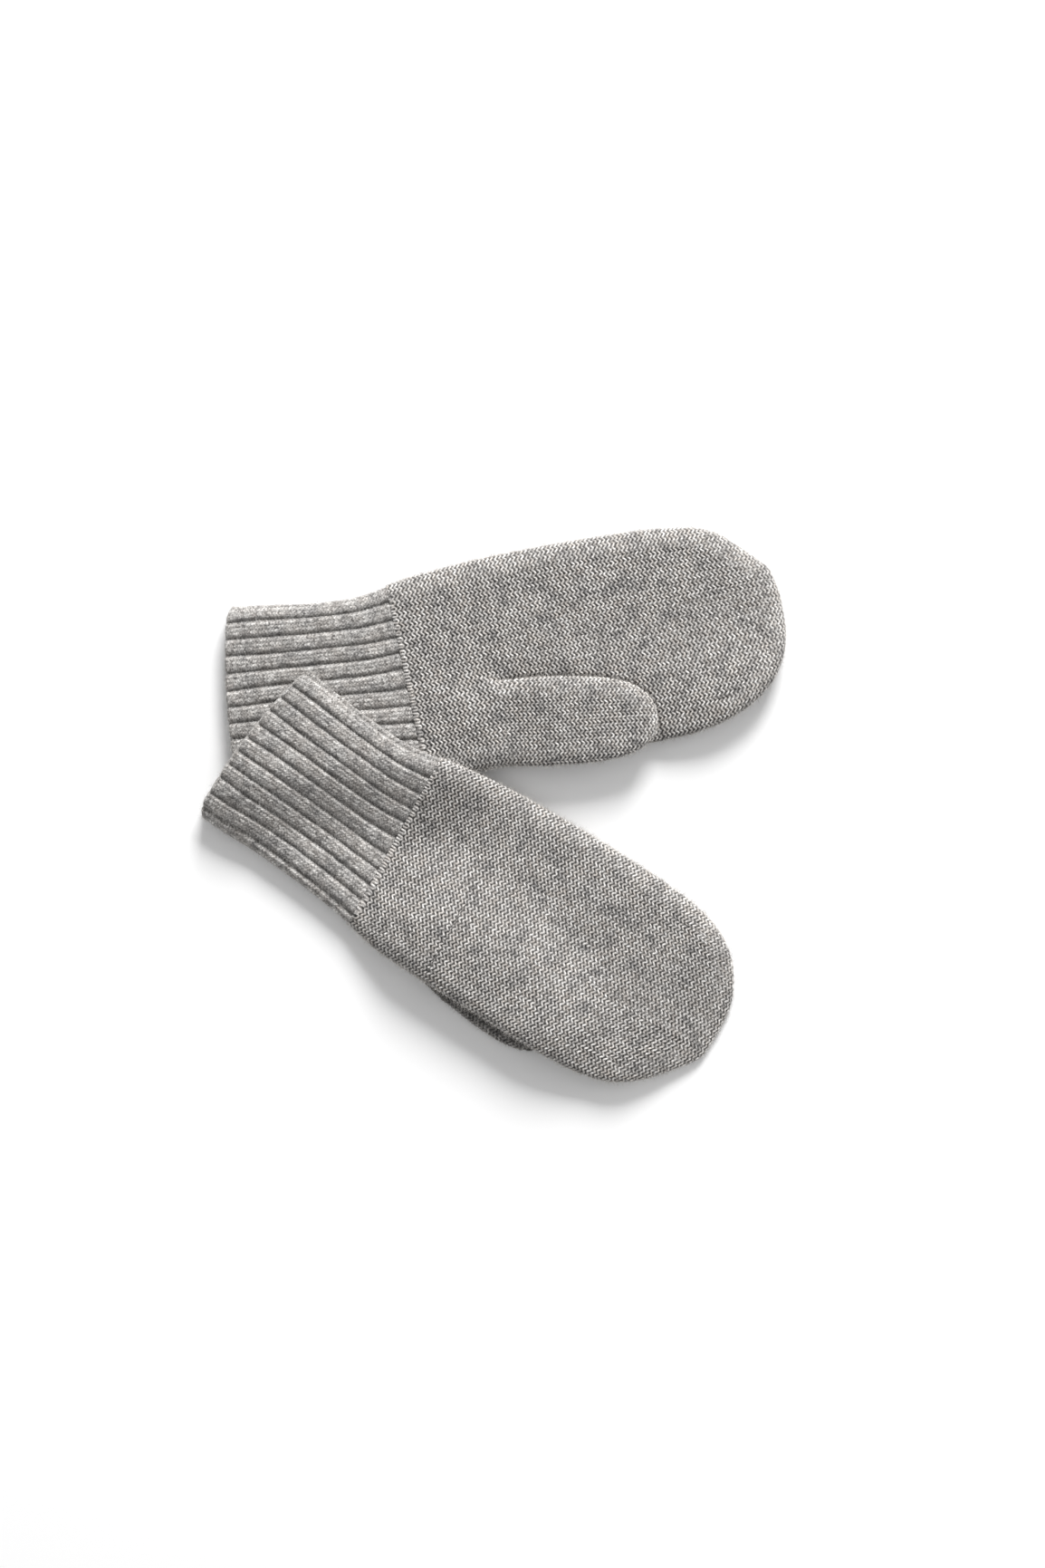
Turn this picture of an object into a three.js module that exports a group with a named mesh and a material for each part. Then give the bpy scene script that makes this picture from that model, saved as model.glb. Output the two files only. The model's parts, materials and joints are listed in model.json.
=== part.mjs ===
// Pair of baby mittens, machine-knitted in marled grey wool and laid flat on a table.
// The right-hand mitten lies palm up with its thumb over the palm.
// The left-hand mitten lies back up over its own thumb, and its cuff lies on the other cuff.
// Units are millimetres. X runs to the right, Y up the table top and Z up from it.
// Each mitten is drawn in its own plan: "along" runs from the cuff seam to the finger tips,
// and "across" runs to the side that is away from the thumb.

import * as THREE from 'three';

// Cloth and layer sizes
const HAND_WALL = 2.6;
const THUMB_WALL = 2.1;
const CUFF_WALL = 2.2;
const RIB_RISE = 1.0;
const LAYER_AIR = 0.4;
const SEAM_GAP = 0.3;
const HAND_HEIGHT = 2 * HAND_WALL + LAYER_AIR;
const THUMB_HEIGHT = 2 * THUMB_WALL + LAYER_AIR;
const CUFF_HEIGHT = 2 * CUFF_WALL + RIB_RISE + LAYER_AIR;
const THUMB_STACK = THUMB_HEIGHT + SEAM_GAP;

// How far the rounded edge of a laid pouch reaches in from its outline
const UPPER_EDGE_DEPTH = 6.0;
const LOWER_EDGE_DEPTH = 3.6;
const THUMB_EDGE_DEPTH = 5.6;
const CUFF_EDGE_DEPTH = 4.6;

// Ribs of the cuff: two raised wales and a sunken one to each repeat
const RIBS_ROUND = 22;
const RIB_LAND = 0.56;
const RIB_FLANK = 0.1;

// Where the thumb leaves the palm
const THUMB_BASE = 26.4;
const THUMB_MOUTH = 0.9;
const CROTCH_ACROSS = -5.2;
const GUSSET_START = 1.0;
const GUSSET_SHOULDER = 13.0;
const GUSSET_SPREAD = 0.5;
const THUMB_HUMP_REACH = 26.0;

// How the upper cuff climbs over the edge of the lower one
const CLIMB_START = -25.0;
const CLIMB_END = 0.0;
const CLIMB_HEIGHT = CUFF_HEIGHT + SEAM_GAP;

// Mesh fineness
const HAND_COLUMNS = 10;
const HAND_TIP_ROWS = 11;
const GUSSET_ROWS = 5;
const THUMB_COLUMNS = 6;
const THUMB_ROWS = 8;
const EDGE_STEPS = 4;
const CUFF_ROWS = 9;

// Share of a pouch outline that is one of its long sides; the rest is the rounded tip
const HAND_SIDE_SHARE = 0.36;
const THUMB_SIDE_SHARE = 0.36;

// Outline of the hand, from the cuff seam round the finger tips and back
const HAND_LENGTH = 112.4;
const HAND_OUTLINE = [
  { along: 0.0, across: 29.2 },
  { along: 9.0, across: 30.2 },
  { along: 25.0, across: 31.2 },
  { along: 45.0, across: 31.2 },
  { along: 62.0, across: 30.7 },
  { along: 78.0, across: 29.6 },
  { along: 90.0, across: 27.8 },
  { along: 98.0, across: 24.9 },
  { along: 104.2, across: 20.6 },
  { along: 108.8, across: 14.6 },
  { along: 111.7, across: 7.8 },
  { along: 112.4, across: 0.0 },
  { along: 111.8, across: -8.0 },
  { along: 109.4, across: -15.4 },
  { along: 105.2, across: -21.4 },
  { along: 99.4, across: -26.0 },
  { along: 91.5, across: -29.5 },
  { along: 81.0, across: -31.8 },
  { along: 66.0, across: -32.1 },
  { along: 48.0, across: -31.4 },
  { along: 28.0, across: -30.6 },
  { along: 12.0, across: -29.5 },
  { along: 0.0, across: -27.0 },
];

// Outline of the thumb, from the crotch round its tip to the side of the hand
const THUMB_OUTLINE = [
  { along: 27.6, across: -5.2 },
  { along: 38.0, across: -6.5 },
  { along: 48.0, across: -8.4 },
  { along: 57.5, across: -10.8 },
  { along: 64.8, across: -14.0 },
  { along: 69.0, across: -18.2 },
  { along: 70.6, across: -23.2 },
  { along: 69.4, across: -28.2 },
  { along: 65.8, across: -32.2 },
  { along: 60.0, across: -34.2 },
  { along: 50.0, across: -34.4 },
  { along: 38.0, across: -33.0 },
  { along: 27.6, across: -31.8 },
];

// Sections of the cuff from hem to seam, by their two ends in plan
const CUFF_SECTIONS = [
  { topAlong: -47.2, topAcross: 31.0, lowAlong: -54.7, lowAcross: -20.4 },
  { topAlong: -42.0, topAcross: 30.4, lowAlong: -46.0, lowAcross: -21.3 },
  { topAlong: -32.5, topAcross: 28.9, lowAlong: -34.5, lowAcross: -21.8 },
  { topAlong: -21.5, topAcross: 27.7, lowAlong: -22.5, lowAcross: -23.0 },
  { topAlong: -10.0, topAcross: 27.8, lowAlong: -10.8, lowAcross: -24.6 },
  { topAlong: -SEAM_GAP, topAcross: 28.8, lowAlong: -SEAM_GAP, lowAcross: -26.5 },
];

// The hem curves out past the straight line between its corners
const HEM_BOW = 1.8;

// The two mittens on the table: turn of the hand in degrees, and where the seam's middle lies
const RIGHT = {
  name: 'right',
  turn: 11.7,
  x: -25.34,
  y: 36.56,
  length: 113.4,
  thumbSwing: 0,
  palmSide: 1,
};
const LEFT = {
  name: 'left',
  turn: -29.5,
  x: -29.24,
  y: -11.24,
  length: 111.0,
  thumbSwing: -1.6,
  palmSide: -1,
};

const smoothstep = THREE.MathUtils.smoothstep;
const QUARTER_TURN = Math.PI / 2;

// Plan helpers

/** Outline of a table of rows as one smooth curve in plan. */
function planCurve(rows) {
  return new THREE.SplineCurve(rows.map((row) => new THREE.Vector2(row.along, row.across)));
}

/** Signed distance from a point to a closed outline, positive inside it. */
function depthInside(point, outline) {
  let nearest = Infinity;
  let inside = false;
  for (let i = 0; i < outline.length; i += 1) {
    const a = outline[i];
    const b = outline[(i + 1) % outline.length];
    const edge = b.clone().sub(a);
    const reach = point.clone().sub(a);
    const share = THREE.MathUtils.clamp(reach.dot(edge) / edge.lengthSq(), 0, 1);
    nearest = Math.min(nearest, reach.distanceTo(edge.multiplyScalar(share)));
    if (a.y > point.y !== b.y > point.y) {
      const crossing = a.x + ((point.y - a.y) * (b.x - a.x)) / (b.y - a.y);
      if (point.x < crossing) {
        inside = !inside;
      }
    }
  }
  return inside ? nearest : -nearest;
}

/** Hand outline of one mitten, stretched to its own length. */
function handCurve(mitten) {
  const stretch = mitten.length / HAND_LENGTH;
  return planCurve(HAND_OUTLINE.map((row) => ({ along: row.along * stretch, across: row.across })));
}

/** Thumb outline of one mitten, swung about the middle of its base. */
function thumbCurve(mitten) {
  const first = THUMB_OUTLINE[0];
  const last = THUMB_OUTLINE[THUMB_OUTLINE.length - 1];
  const pivot = new THREE.Vector2(first.along, (first.across + last.across) / 2);
  const swing = THREE.MathUtils.degToRad(mitten.thumbSwing);
  const points = THUMB_OUTLINE.map((row, index) => {
    const point = new THREE.Vector2(row.along, row.across);
    const isBase = index === 0 || index === THUMB_OUTLINE.length - 1;
    return isBase ? point : point.rotateAround(pivot, swing);
  });
  return new THREE.SplineCurve(points);
}

/** Place a plan point of one mitten on the table. */
function onTable(mitten, point) {
  const turned = point.clone().rotateAround(new THREE.Vector2(), THREE.MathUtils.degToRad(mitten.turn));
  return turned.add(new THREE.Vector2(mitten.x, mitten.y));
}

const CUFF_TOP = planCurve(CUFF_SECTIONS.map((row) => ({ along: row.topAlong, across: row.topAcross })));
const CUFF_LOW = planCurve(CUFF_SECTIONS.map((row) => ({ along: row.lowAlong, across: row.lowAcross })));

/** Outline on the table of everything but the thumb of one mitten. */
function tableOutline(mitten) {
  const hand = handCurve(mitten).getSpacedPoints(60);
  const lower = CUFF_LOW.getPoints(CUFF_ROWS).reverse();
  const upper = CUFF_TOP.getPoints(CUFF_ROWS);
  return [...hand, ...lower, ...upper].map((point) => onTable(mitten, point));
}

// Height helpers

/** How high the palm is raised towards the mouth of the thumb, as a share from 0 to 1. */
function gussetShare(point) {
  if (point.x > THUMB_BASE + THUMB_MOUTH / 2) {
    return 0;
  }
  const crotch = CROTCH_ACROSS + (THUMB_BASE - point.x) * GUSSET_SPREAD;
  const climb = smoothstep(point.x, GUSSET_START, THUMB_BASE);
  const shoulder = smoothstep(crotch - point.y, 0, GUSSET_SHOULDER);
  return climb * shoulder;
}

const UNDERLYING = tableOutline(RIGHT);
const LEFT_THUMB_OUTLINE = thumbCurve(LEFT).getSpacedPoints(40);

/** Height that what lies beneath gives to the left mitten's hand and cuff. */
function liftOfLeft(point) {
  const overCuff = depthInside(onTable(LEFT, point), UNDERLYING);
  const climb = CLIMB_HEIGHT * smoothstep(overCuff, CLIMB_START, CLIMB_END);
  const overThumb = depthInside(point, LEFT_THUMB_OUTLINE);
  const ramp = smoothstep(overThumb, -THUMB_HUMP_REACH, 0);
  return climb + THUMB_STACK * Math.max(ramp, gussetShare(point));
}

/** Height of the middle plane of a mitten's hand or cuff over the table. */
function bedHeight(mitten, point) {
  return mitten === LEFT ? liftOfLeft(point) : 0;
}

// Sheets: paired outer and inner points of a wall of cloth, and the quads between them

/** Closed body of a sheet: its outer face, its inner face and the rim along every free edge. */
function wallGeometry(sheet) {
  const count = sheet.outer.length;
  const index = [];
  const rim = new Map();
  const addQuad = (a, b, c, d) => index.push(a, b, c, a, c, d);
  for (const [a, b, c, d] of sheet.quads) {
    addQuad(a, b, c, d);
    addQuad(d + count, c + count, b + count, a + count);
    for (const [from, to] of [[a, b], [b, c], [c, d], [d, a]]) {
      const back = `${to}:${from}`;
      if (rim.has(back)) {
        rim.delete(back);
      } else {
        rim.set(`${from}:${to}`, [from, to]);
      }
    }
  }
  for (const [from, to] of rim.values()) {
    addQuad(to, from, from + count, to + count);
  }
  const positions = [...sheet.outer, ...sheet.inner].flatMap((point) => point.toArray());
  return closedGeometry(positions, index);
}

/** Geometry of a closed body with its faces pointing out. */
function closedGeometry(positions, index) {
  let volume = 0;
  const corner = (i) => new THREE.Vector3().fromArray(positions, 3 * index[i]);
  for (let i = 0; i < index.length; i += 3) {
    volume += corner(i).dot(corner(i + 1).cross(corner(i + 2)));
  }
  const outward = volume > 0 ? index : index.slice().reverse();
  const geometry = new THREE.BufferGeometry();
  geometry.setAttribute('position', new THREE.Float32BufferAttribute(positions, 3));
  geometry.setIndex(outward);
  const compact = dropUnused(geometry);
  compact.computeVertexNormals();
  return compact;
}

/** Copy of a geometry without the points that no face uses. */
function dropUnused(geometry) {
  const index = Array.from(geometry.index.array);
  const used = [...new Set(index)].sort((a, b) => a - b);
  const renumber = new Map(used.map((old, fresh) => [old, fresh]));
  const source = geometry.attributes.position.array;
  const positions = used.flatMap((old) => [source[3 * old], source[3 * old + 1], source[3 * old + 2]]);
  const compact = new THREE.BufferGeometry();
  compact.setAttribute('position', new THREE.Float32BufferAttribute(positions, 3));
  compact.setIndex(index.map((old) => renumber.get(old)));
  return compact;
}

/** Plan of a pouch: straight rows inside its edge band that bulge towards the tip. */
function layPouch(curve, sideShare, rowShares, columns, bandDepth) {
  const sideAt = (share, low) => edgeSpot(curve, low ? 1 - sideShare * share : sideShare * share);
  const spots = [];
  rowShares.forEach((share, row) => spots.push({ ...sideAt(share, false), row, column: 0 }));
  for (let column = 1; column < columns; column += 1) {
    const along = sideShare + ((1 - 2 * sideShare) * column) / columns;
    spots.push({ ...edgeSpot(curve, along), row: rowShares.length - 1, column });
  }
  rowShares
    .map((share, row) => ({ ...sideAt(share, true), row, column: columns }))
    .reverse()
    .forEach((spot) => spots.push(spot));
  const inset = (spot) => spot.edge.clone().addScaledVector(spot.inward, bandDepth);
  const lastRow = rowShares.length - 1;
  const tip = spots.slice(lastRow, lastRow + columns + 1).map(inset);
  const grid = rowShares.map((share, row) => {
    const upper = inset(spots[row]);
    const lower = inset(spots[spots.length - 1 - row]);
    return tip.map((tipPoint, column) => {
      const across = column / columns;
      const bulge = tipPoint.clone().sub(tip[0].clone().lerp(tip[columns], across));
      return upper.clone().lerp(lower, across).addScaledVector(bulge, share ** 3);
    });
  });
  return { grid, spots };
}

/** Point on an outline and the direction into the cloth; at the open ends that is along the mouth. */
function edgeSpot(curve, share) {
  const edge = curve.getPointAt(share);
  const tangent = curve.getTangentAt(share);
  const inward = new THREE.Vector2(tangent.y, -tangent.x);
  if (share === 0) {
    inward.set(0, -1);
  }
  if (share === 1) {
    inward.set(0, 1);
  }
  return { edge, inward };
}

/**
 * Adds one side of a laid pouch to a sheet: its flat middle and its rounded edge band.
 * side is 1 for the upper face and -1 for the lower one; form gives wall, half height, middle
 * plane and extra raise; isOpen tells which cells are left out; edgeIds shares the edge points.
 */
function addPouchSide(sheet, plan, side, form, isOpen, edgeIds) {
  const { wall, halfHeight, bandDepth, partGap, middle, raise } = form;
  const addPoint = (outerPlan, innerPlan, outerHeight, innerHeight) => {
    const outerZ = middle(outerPlan) + side * outerHeight;
    const innerZ = middle(innerPlan) + side * innerHeight;
    sheet.outer.push(new THREE.Vector3(outerPlan.x, outerPlan.y, outerZ));
    sheet.inner.push(new THREE.Vector3(innerPlan.x, innerPlan.y, innerZ));
    return sheet.outer.length - 1;
  };
  const gridIds = plan.grid.map((row) => row.map((point) => {
    const height = halfHeight + raise(point);
    return addPoint(point, point, height, height - wall);
  }));
  const rings = [plan.spots.map((spot) => gridIds[spot.row][spot.column])];
  for (let step = EDGE_STEPS - 1; step >= 0; step -= 1) {
    if (step === 0 && edgeIds.length > 0) {
      rings.push(edgeIds);
      break;
    }
    const angle = (QUARTER_TURN * step) / EDGE_STEPS;
    const withdrawn = 1 - Math.cos(angle);
    const rise = Math.sin(angle);
    const ring = plan.spots.map((spot) => {
      const outer = spot.edge.clone().addScaledVector(spot.inward, bandDepth * withdrawn);
      const innerInset = wall + (bandDepth - wall) * withdrawn;
      const inner = spot.edge.clone().addScaledVector(spot.inward, innerInset);
      const height = halfHeight + raise(plan.grid[spot.row][spot.column]) - partGap;
      return addPoint(outer, inner, partGap + height * rise, partGap + (height - wall) * rise);
    });
    rings.push(ring);
  }
  if (edgeIds.length === 0) {
    edgeIds.push(...rings[rings.length - 1]);
  }
  const addQuad = (a, b, c, d) => sheet.quads.push(side > 0 ? [a, b, c, d] : [d, c, b, a]);
  for (let row = 1; row < gridIds.length; row += 1) {
    for (let column = 1; column < gridIds[row].length; column += 1) {
      if (!isOpen(row - 1, column - 1, EDGE_STEPS)) {
        const [near, far] = [gridIds[row - 1], gridIds[row]];
        addQuad(near[column - 1], near[column], far[column], far[column - 1]);
      }
    }
  }
  for (let ring = 1; ring < rings.length; ring += 1) {
    for (let spot = 1; spot < plan.spots.length; spot += 1) {
      const [from, to] = [plan.spots[spot - 1], plan.spots[spot]];
      const row = Math.min(from.row, to.row);
      const column = Math.min(from.column, to.column);
      if (from.row === to.row || !isOpen(row, column, EDGE_STEPS - ring)) {
        const [inner, outer] = [rings[ring - 1], rings[ring]];
        addQuad(inner[spot - 1], inner[spot], outer[spot], outer[spot - 1]);
      }
    }
  }
}

// Pieces of one mitten

const NEVER_OPEN = () => false;
const NO_RAISE = () => 0;

/** Row shares of the hand: rows up to the thumb's mouth, the mouth, and rows on to the tip. */
function handRows(mitten) {
  const side = handCurve(mitten).getLength() * HAND_SIDE_SHARE;
  const mouth = THUMB_BASE / side;
  const rows = [];
  for (let row = 0; row <= GUSSET_ROWS; row += 1) {
    rows.push((mouth * row) / GUSSET_ROWS);
  }
  const beyond = mouth + THUMB_MOUTH / side;
  for (let row = 0; row <= HAND_TIP_ROWS; row += 1) {
    rows.push(beyond + ((1 - beyond) * row) / HAND_TIP_ROWS);
  }
  return rows;
}

/** One panel of the hand. The palm has the raised mouth of the thumb, the back is plain. */
function handPanel(mitten, isPalm) {
  const side = isPalm ? mitten.palmSide : -mitten.palmSide;
  const bandDepth = side > 0 ? UPPER_EDGE_DEPTH : LOWER_EDGE_DEPTH;
  const plan = layPouch(handCurve(mitten), HAND_SIDE_SHARE, handRows(mitten), HAND_COLUMNS, bandDepth);
  const isMouth = (row, column, ring) => {
    const beside = plan.grid[row][Math.min(column + 1, HAND_COLUMNS)];
    return row === GUSSET_ROWS && beside.y < CROTCH_ACROSS && ring > 0;
  };
  const form = {
    wall: HAND_WALL,
    halfHeight: HAND_HEIGHT / 2,
    bandDepth,
    partGap: SEAM_GAP / 2,
    middle: (point) => HAND_HEIGHT / 2 + bedHeight(mitten, point),
    raise: isPalm ? (point) => THUMB_STACK * gussetShare(point) : NO_RAISE,
  };
  const sheet = { outer: [], inner: [], quads: [] };
  addPouchSide(sheet, plan, side, form, isPalm ? isMouth : NEVER_OPEN, []);
  return wallGeometry(sheet);
}

/** The thumb: a flat pouch, closed at its tip and open towards the palm. */
function thumbPouch(mitten) {
  const rows = Array.from({ length: THUMB_ROWS + 1 }, (_, row) => row / THUMB_ROWS);
  const bed = mitten.palmSide > 0 ? HAND_HEIGHT + SEAM_GAP : 0;
  const form = {
    wall: THUMB_WALL,
    halfHeight: THUMB_HEIGHT / 2,
    partGap: 0,
    middle: () => bed + THUMB_HEIGHT / 2,
    raise: NO_RAISE,
  };
  const sheet = { outer: [], inner: [], quads: [] };
  const edgeIds = [];
  for (const side of [1, -1]) {
    const bandDepth = side > 0 ? THUMB_EDGE_DEPTH : LOWER_EDGE_DEPTH;
    const plan = layPouch(thumbCurve(mitten), THUMB_SIDE_SHARE, rows, THUMB_COLUMNS, bandDepth);
    addPouchSide(sheet, plan, side, { ...form, bandDepth }, NEVER_OPEN, edgeIds);
  }
  return wallGeometry(sheet);
}

/** Closed path of a flattened tube, from the middle of its underside round and back. */
function flatRing(width, height, edgeDepth) {
  const straight = width / 2 - edgeDepth;
  const half = height / 2;
  const path = new THREE.Path();
  path.moveTo(0, -half);
  path.lineTo(straight, -half);
  path.absellipse(straight, 0, edgeDepth, half, -QUARTER_TURN, QUARTER_TURN, false, 0);
  path.lineTo(-straight, half);
  path.absellipse(-straight, 0, edgeDepth, half, QUARTER_TURN, 3 * QUARTER_TURN, false, 0);
  path.lineTo(0, -half);
  return path;
}

/** Points round a section of the cuff: plain below, and above with the ribs' rise along the normal. */
function ribSection(width, height) {
  const outer = flatRing(width, height, CUFF_EDGE_DEPTH);
  const inner = flatRing(width - 2 * CUFF_WALL, LAYER_AIR, CUFF_EDGE_DEPTH - CUFF_WALL);
  const ribTurns = [[0, 1], [RIB_LAND, 1], [RIB_LAND + RIB_FLANK, 0], [1 - RIB_FLANK, 0]];
  const section = [];
  for (let rib = 0; rib < RIBS_ROUND; rib += 1) {
    for (const [turn, rise] of ribTurns) {
      const share = (rib + turn) / RIBS_ROUND;
      const tangent = outer.getTangentAt(share);
      const normal = new THREE.Vector2(tangent.y, -tangent.x);
      const showing = smoothstep(normal.y, -0.6, 0.6);
      if (showing > 0 || rise === 1) {
        const point = outer.getPointAt(share).addScaledVector(normal, RIB_RISE * rise * showing);
        section.push({ point, inside: inner.getPointAt(share) });
      }
    }
  }
  return section;
}

/** The ribbed cuff: a flattened tube with ribs raised on its outside over a plain inside. */
function cuffTube(mitten) {
  const sheet = { outer: [], inner: [], quads: [] };
  const bodyHeight = CUFF_HEIGHT - RIB_RISE;
  let count = 0;
  for (let row = 0; row <= CUFF_ROWS; row += 1) {
    const share = row / CUFF_ROWS;
    const top = CUFF_TOP.getPoint(share);
    const low = CUFF_LOW.getPoint(share);
    const span = top.distanceTo(low);
    const bow = HEM_BOW * (1 - share) ** 2;
    const place = ({ x, y }) => {
      const point = low.clone().lerp(top, 0.5 + x / span);
      point.x -= bow * (1 - ((2 * x) / span) ** 2);
      return new THREE.Vector3(point.x, point.y, bodyHeight / 2 + y + bedHeight(mitten, point));
    };
    const section = ribSection(span - RIB_RISE, bodyHeight);
    count = section.length;
    section.forEach(({ point, inside }) => {
      sheet.outer.push(place(point));
      sheet.inner.push(place(inside));
    });
  }
  for (let row = 1; row <= CUFF_ROWS; row += 1) {
    for (let turn = 0; turn < count; turn += 1) {
      const next = (turn + 1) % count;
      const [near, far] = [(row - 1) * count, row * count];
      sheet.quads.push([near + turn, near + next, far + next, far + turn]);
    }
  }
  return wallGeometry(sheet);
}

// Colours of the four pieces

const COLOURS = {
  cuff: 0x9d9997,
  palm: 0xa19d9b,
  back: 0xa4a19e,
  thumb: 0x9a9694,
};

/** One mitten as a group of its four sewn pieces, turned and laid on the table. */
function makeMitten(mitten) {
  const pieces = {
    cuff: cuffTube(mitten),
    palm: handPanel(mitten, true),
    back: handPanel(mitten, false),
    thumb: thumbPouch(mitten),
  };
  const group = new THREE.Group();
  for (const [piece, geometry] of Object.entries(pieces)) {
    const wool = new THREE.MeshStandardMaterial({ color: COLOURS[piece], roughness: 0.95, metalness: 0 });
    const mesh = new THREE.Mesh(geometry, wool);
    mesh.name = `${mitten.name}_${piece}`;
    group.add(mesh);
  }
  group.rotation.z = THREE.MathUtils.degToRad(mitten.turn);
  group.position.set(mitten.x, mitten.y, 0);
  return group;
}

const pair = new THREE.Group();
pair.add(makeMitten(RIGHT));
pair.add(makeMitten(LEFT));

export default pair;
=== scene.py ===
"""Pair of baby mittens in marled grey wool, laid flat and seen straight from above.

Each mitten has a ribbed cuff, a palm with the mouth of its thumb, a back and a thumb. Every
piece is a wall of knit whose stitches are raised in its outer face, over a plain inner face.
Sizes are millimetres in the plan of one mitten, where "along" runs from the cuff seam to the
finger tips and "across" runs to the side away from the thumb.
"""

import json
import logging
import math
from collections.abc import Callable
from dataclasses import dataclass, field
from enum import Enum

import bpy
import numpy as np
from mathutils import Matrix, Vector

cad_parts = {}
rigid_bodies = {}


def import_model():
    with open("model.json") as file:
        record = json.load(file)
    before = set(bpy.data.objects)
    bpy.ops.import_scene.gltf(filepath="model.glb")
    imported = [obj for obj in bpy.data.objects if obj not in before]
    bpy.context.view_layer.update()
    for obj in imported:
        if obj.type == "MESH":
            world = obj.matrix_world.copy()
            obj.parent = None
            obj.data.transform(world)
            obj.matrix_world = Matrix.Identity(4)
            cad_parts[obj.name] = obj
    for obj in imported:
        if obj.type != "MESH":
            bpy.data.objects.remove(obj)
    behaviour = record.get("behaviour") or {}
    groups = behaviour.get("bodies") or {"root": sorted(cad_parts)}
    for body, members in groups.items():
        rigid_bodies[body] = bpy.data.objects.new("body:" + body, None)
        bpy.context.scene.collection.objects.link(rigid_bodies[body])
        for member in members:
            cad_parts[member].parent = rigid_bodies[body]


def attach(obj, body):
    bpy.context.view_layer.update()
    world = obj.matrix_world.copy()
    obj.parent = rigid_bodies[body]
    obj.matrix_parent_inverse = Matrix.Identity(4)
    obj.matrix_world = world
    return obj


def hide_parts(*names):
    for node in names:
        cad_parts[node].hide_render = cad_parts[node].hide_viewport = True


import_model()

LOG = logging.getLogger("mittens")
MM = 0.001
TAU = 2.0 * math.pi
TINY = 1e-9

Points = np.ndarray
HeightRule = Callable[[Points], np.ndarray]


class Face(Enum):
    """Which side of a laid pouch a cloth face looks to."""

    UPPER = 1
    LOWER = -1


class Fineness(Enum):
    """How many fine cells of relief lie on one coarse cell of the inner face."""

    SHOWN = 8
    GLIMPSED = 5
    HIDDEN = 3


@dataclass(frozen=True)
class ClothSizes:
    """Thickness of the knit and of its layers, and how round its laid edges are."""

    hand_wall: float = 2.6
    thumb_wall: float = 2.1
    cuff_wall: float = 2.2
    rib_rise: float = 1.0
    layer_air: float = 0.4
    piece_gap: float = 0.3
    sewn_gap: float = 0.03
    upper_edge: float = 6.0
    lower_edge: float = 3.6
    thumb_edge: float = 5.8
    cuff_edge: float = 4.6

    @property
    def hand_height(self) -> float:
        """Height of the two panels of a hand."""
        return 2 * self.hand_wall + self.layer_air

    @property
    def thumb_height(self) -> float:
        """Height of the two layers of a thumb."""
        return 2 * self.thumb_wall + self.layer_air

    @property
    def cuff_height(self) -> float:
        """Height of a cuff over the crowns of its upper ribs."""
        return 2 * self.cuff_wall + self.rib_rise + self.layer_air

    @property
    def thumb_stack(self) -> float:
        """How much a thumb adds to the height of what lies over or under it."""
        return self.thumb_height + self.piece_gap


@dataclass(frozen=True)
class Puff:
    """A soft rise where the cloth stands off what lies beneath it."""

    along: float
    across: float
    reach_along: float
    reach_across: float
    rise: float

    def height(self, plan: Points) -> np.ndarray:
        """Rise of the cloth.

        Args:
            plan: places in the plan of the mitten, one row each.

        Returns:
            The rise at each place, in millimetres.
        """
        along = (plan[:, 0] - self.along) / self.reach_along
        across = (plan[:, 1] - self.across) / self.reach_across
        return self.rise * np.exp(-(along**2) - across**2)


@dataclass(frozen=True)
class Gauge:
    """Size of one stitch: its course along the wales and its wale across them."""

    course: float
    wale: float


CLOTH = ClothSizes()
HAND_GAUGE = Gauge(course=1.28, wale=1.89)
CUFF_GAUGE = Gauge(course=0.93, wale=1.5)
RIBS_ROUND = 22

# The outline of a hand runs from the cuff's upper end round the tip to its lower end, and the
# points of each mitten's own tip go in at TIP_PLACE
HAND_LENGTH = 112.4
TIP_PLACE = 7
HAND_OUTLINE = (
    (0.0, 29.2),
    (9.0, 30.2),
    (25.0, 31.2),
    (45.0, 31.2),
    (62.0, 30.7),
    (78.0, 29.6),
    (90.0, 27.8),
    (81.0, -31.8),
    (66.0, -32.1),
    (48.0, -31.4),
    (28.0, -30.6),
    (12.0, -29.5),
    (0.0, -27.0),
)
LEFT_TIP = (
    (98.0, 24.9),
    (104.2, 20.6),
    (108.8, 14.6),
    (111.7, 7.8),
    (112.4, 0.0),
    (112.1, -6.5),
    (111.2, -10.9),
    (105.6, -18.0),
    (99.6, -24.2),
    (91.5, -29.4),
)
RIGHT_TIP = (
    (97.2, 24.9),
    (103.9, 18.6),
    (107.6, 14.9),
    (110.6, 11.2),
    (111.9, 5.6),
    (112.3, 0.0),
    (111.8, -8.0),
    (109.4, -15.4),
    (105.2, -21.4),
    (99.4, -26.0),
    (91.5, -29.5),
)
THUMB_OUTLINE = (
    (27.6, -5.2),
    (38.0, -6.5),
    (48.0, -8.4),
    (57.5, -10.8),
    (64.8, -14.0),
    (69.0, -18.2),
    (70.6, -23.2),
    (69.4, -28.2),
    (65.8, -32.2),
    (60.0, -34.2),
    (50.0, -34.4),
    (38.0, -33.0),
    (27.6, -31.8),
)
CUFF_TOP = (
    (-47.2, 32.2),
    (-42.0, 31.5),
    (-32.5, 29.9),
    (-21.5, 28.4),
    (-10.0, 27.6),
    (-0.3, 28.7),
)
CUFF_LOW = (
    (-54.7, -20.4),
    (-46.0, -21.3),
    (-34.5, -21.8),
    (-22.5, -23.0),
    (-10.8, -24.6),
    (-0.3, -26.5),
)

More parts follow.
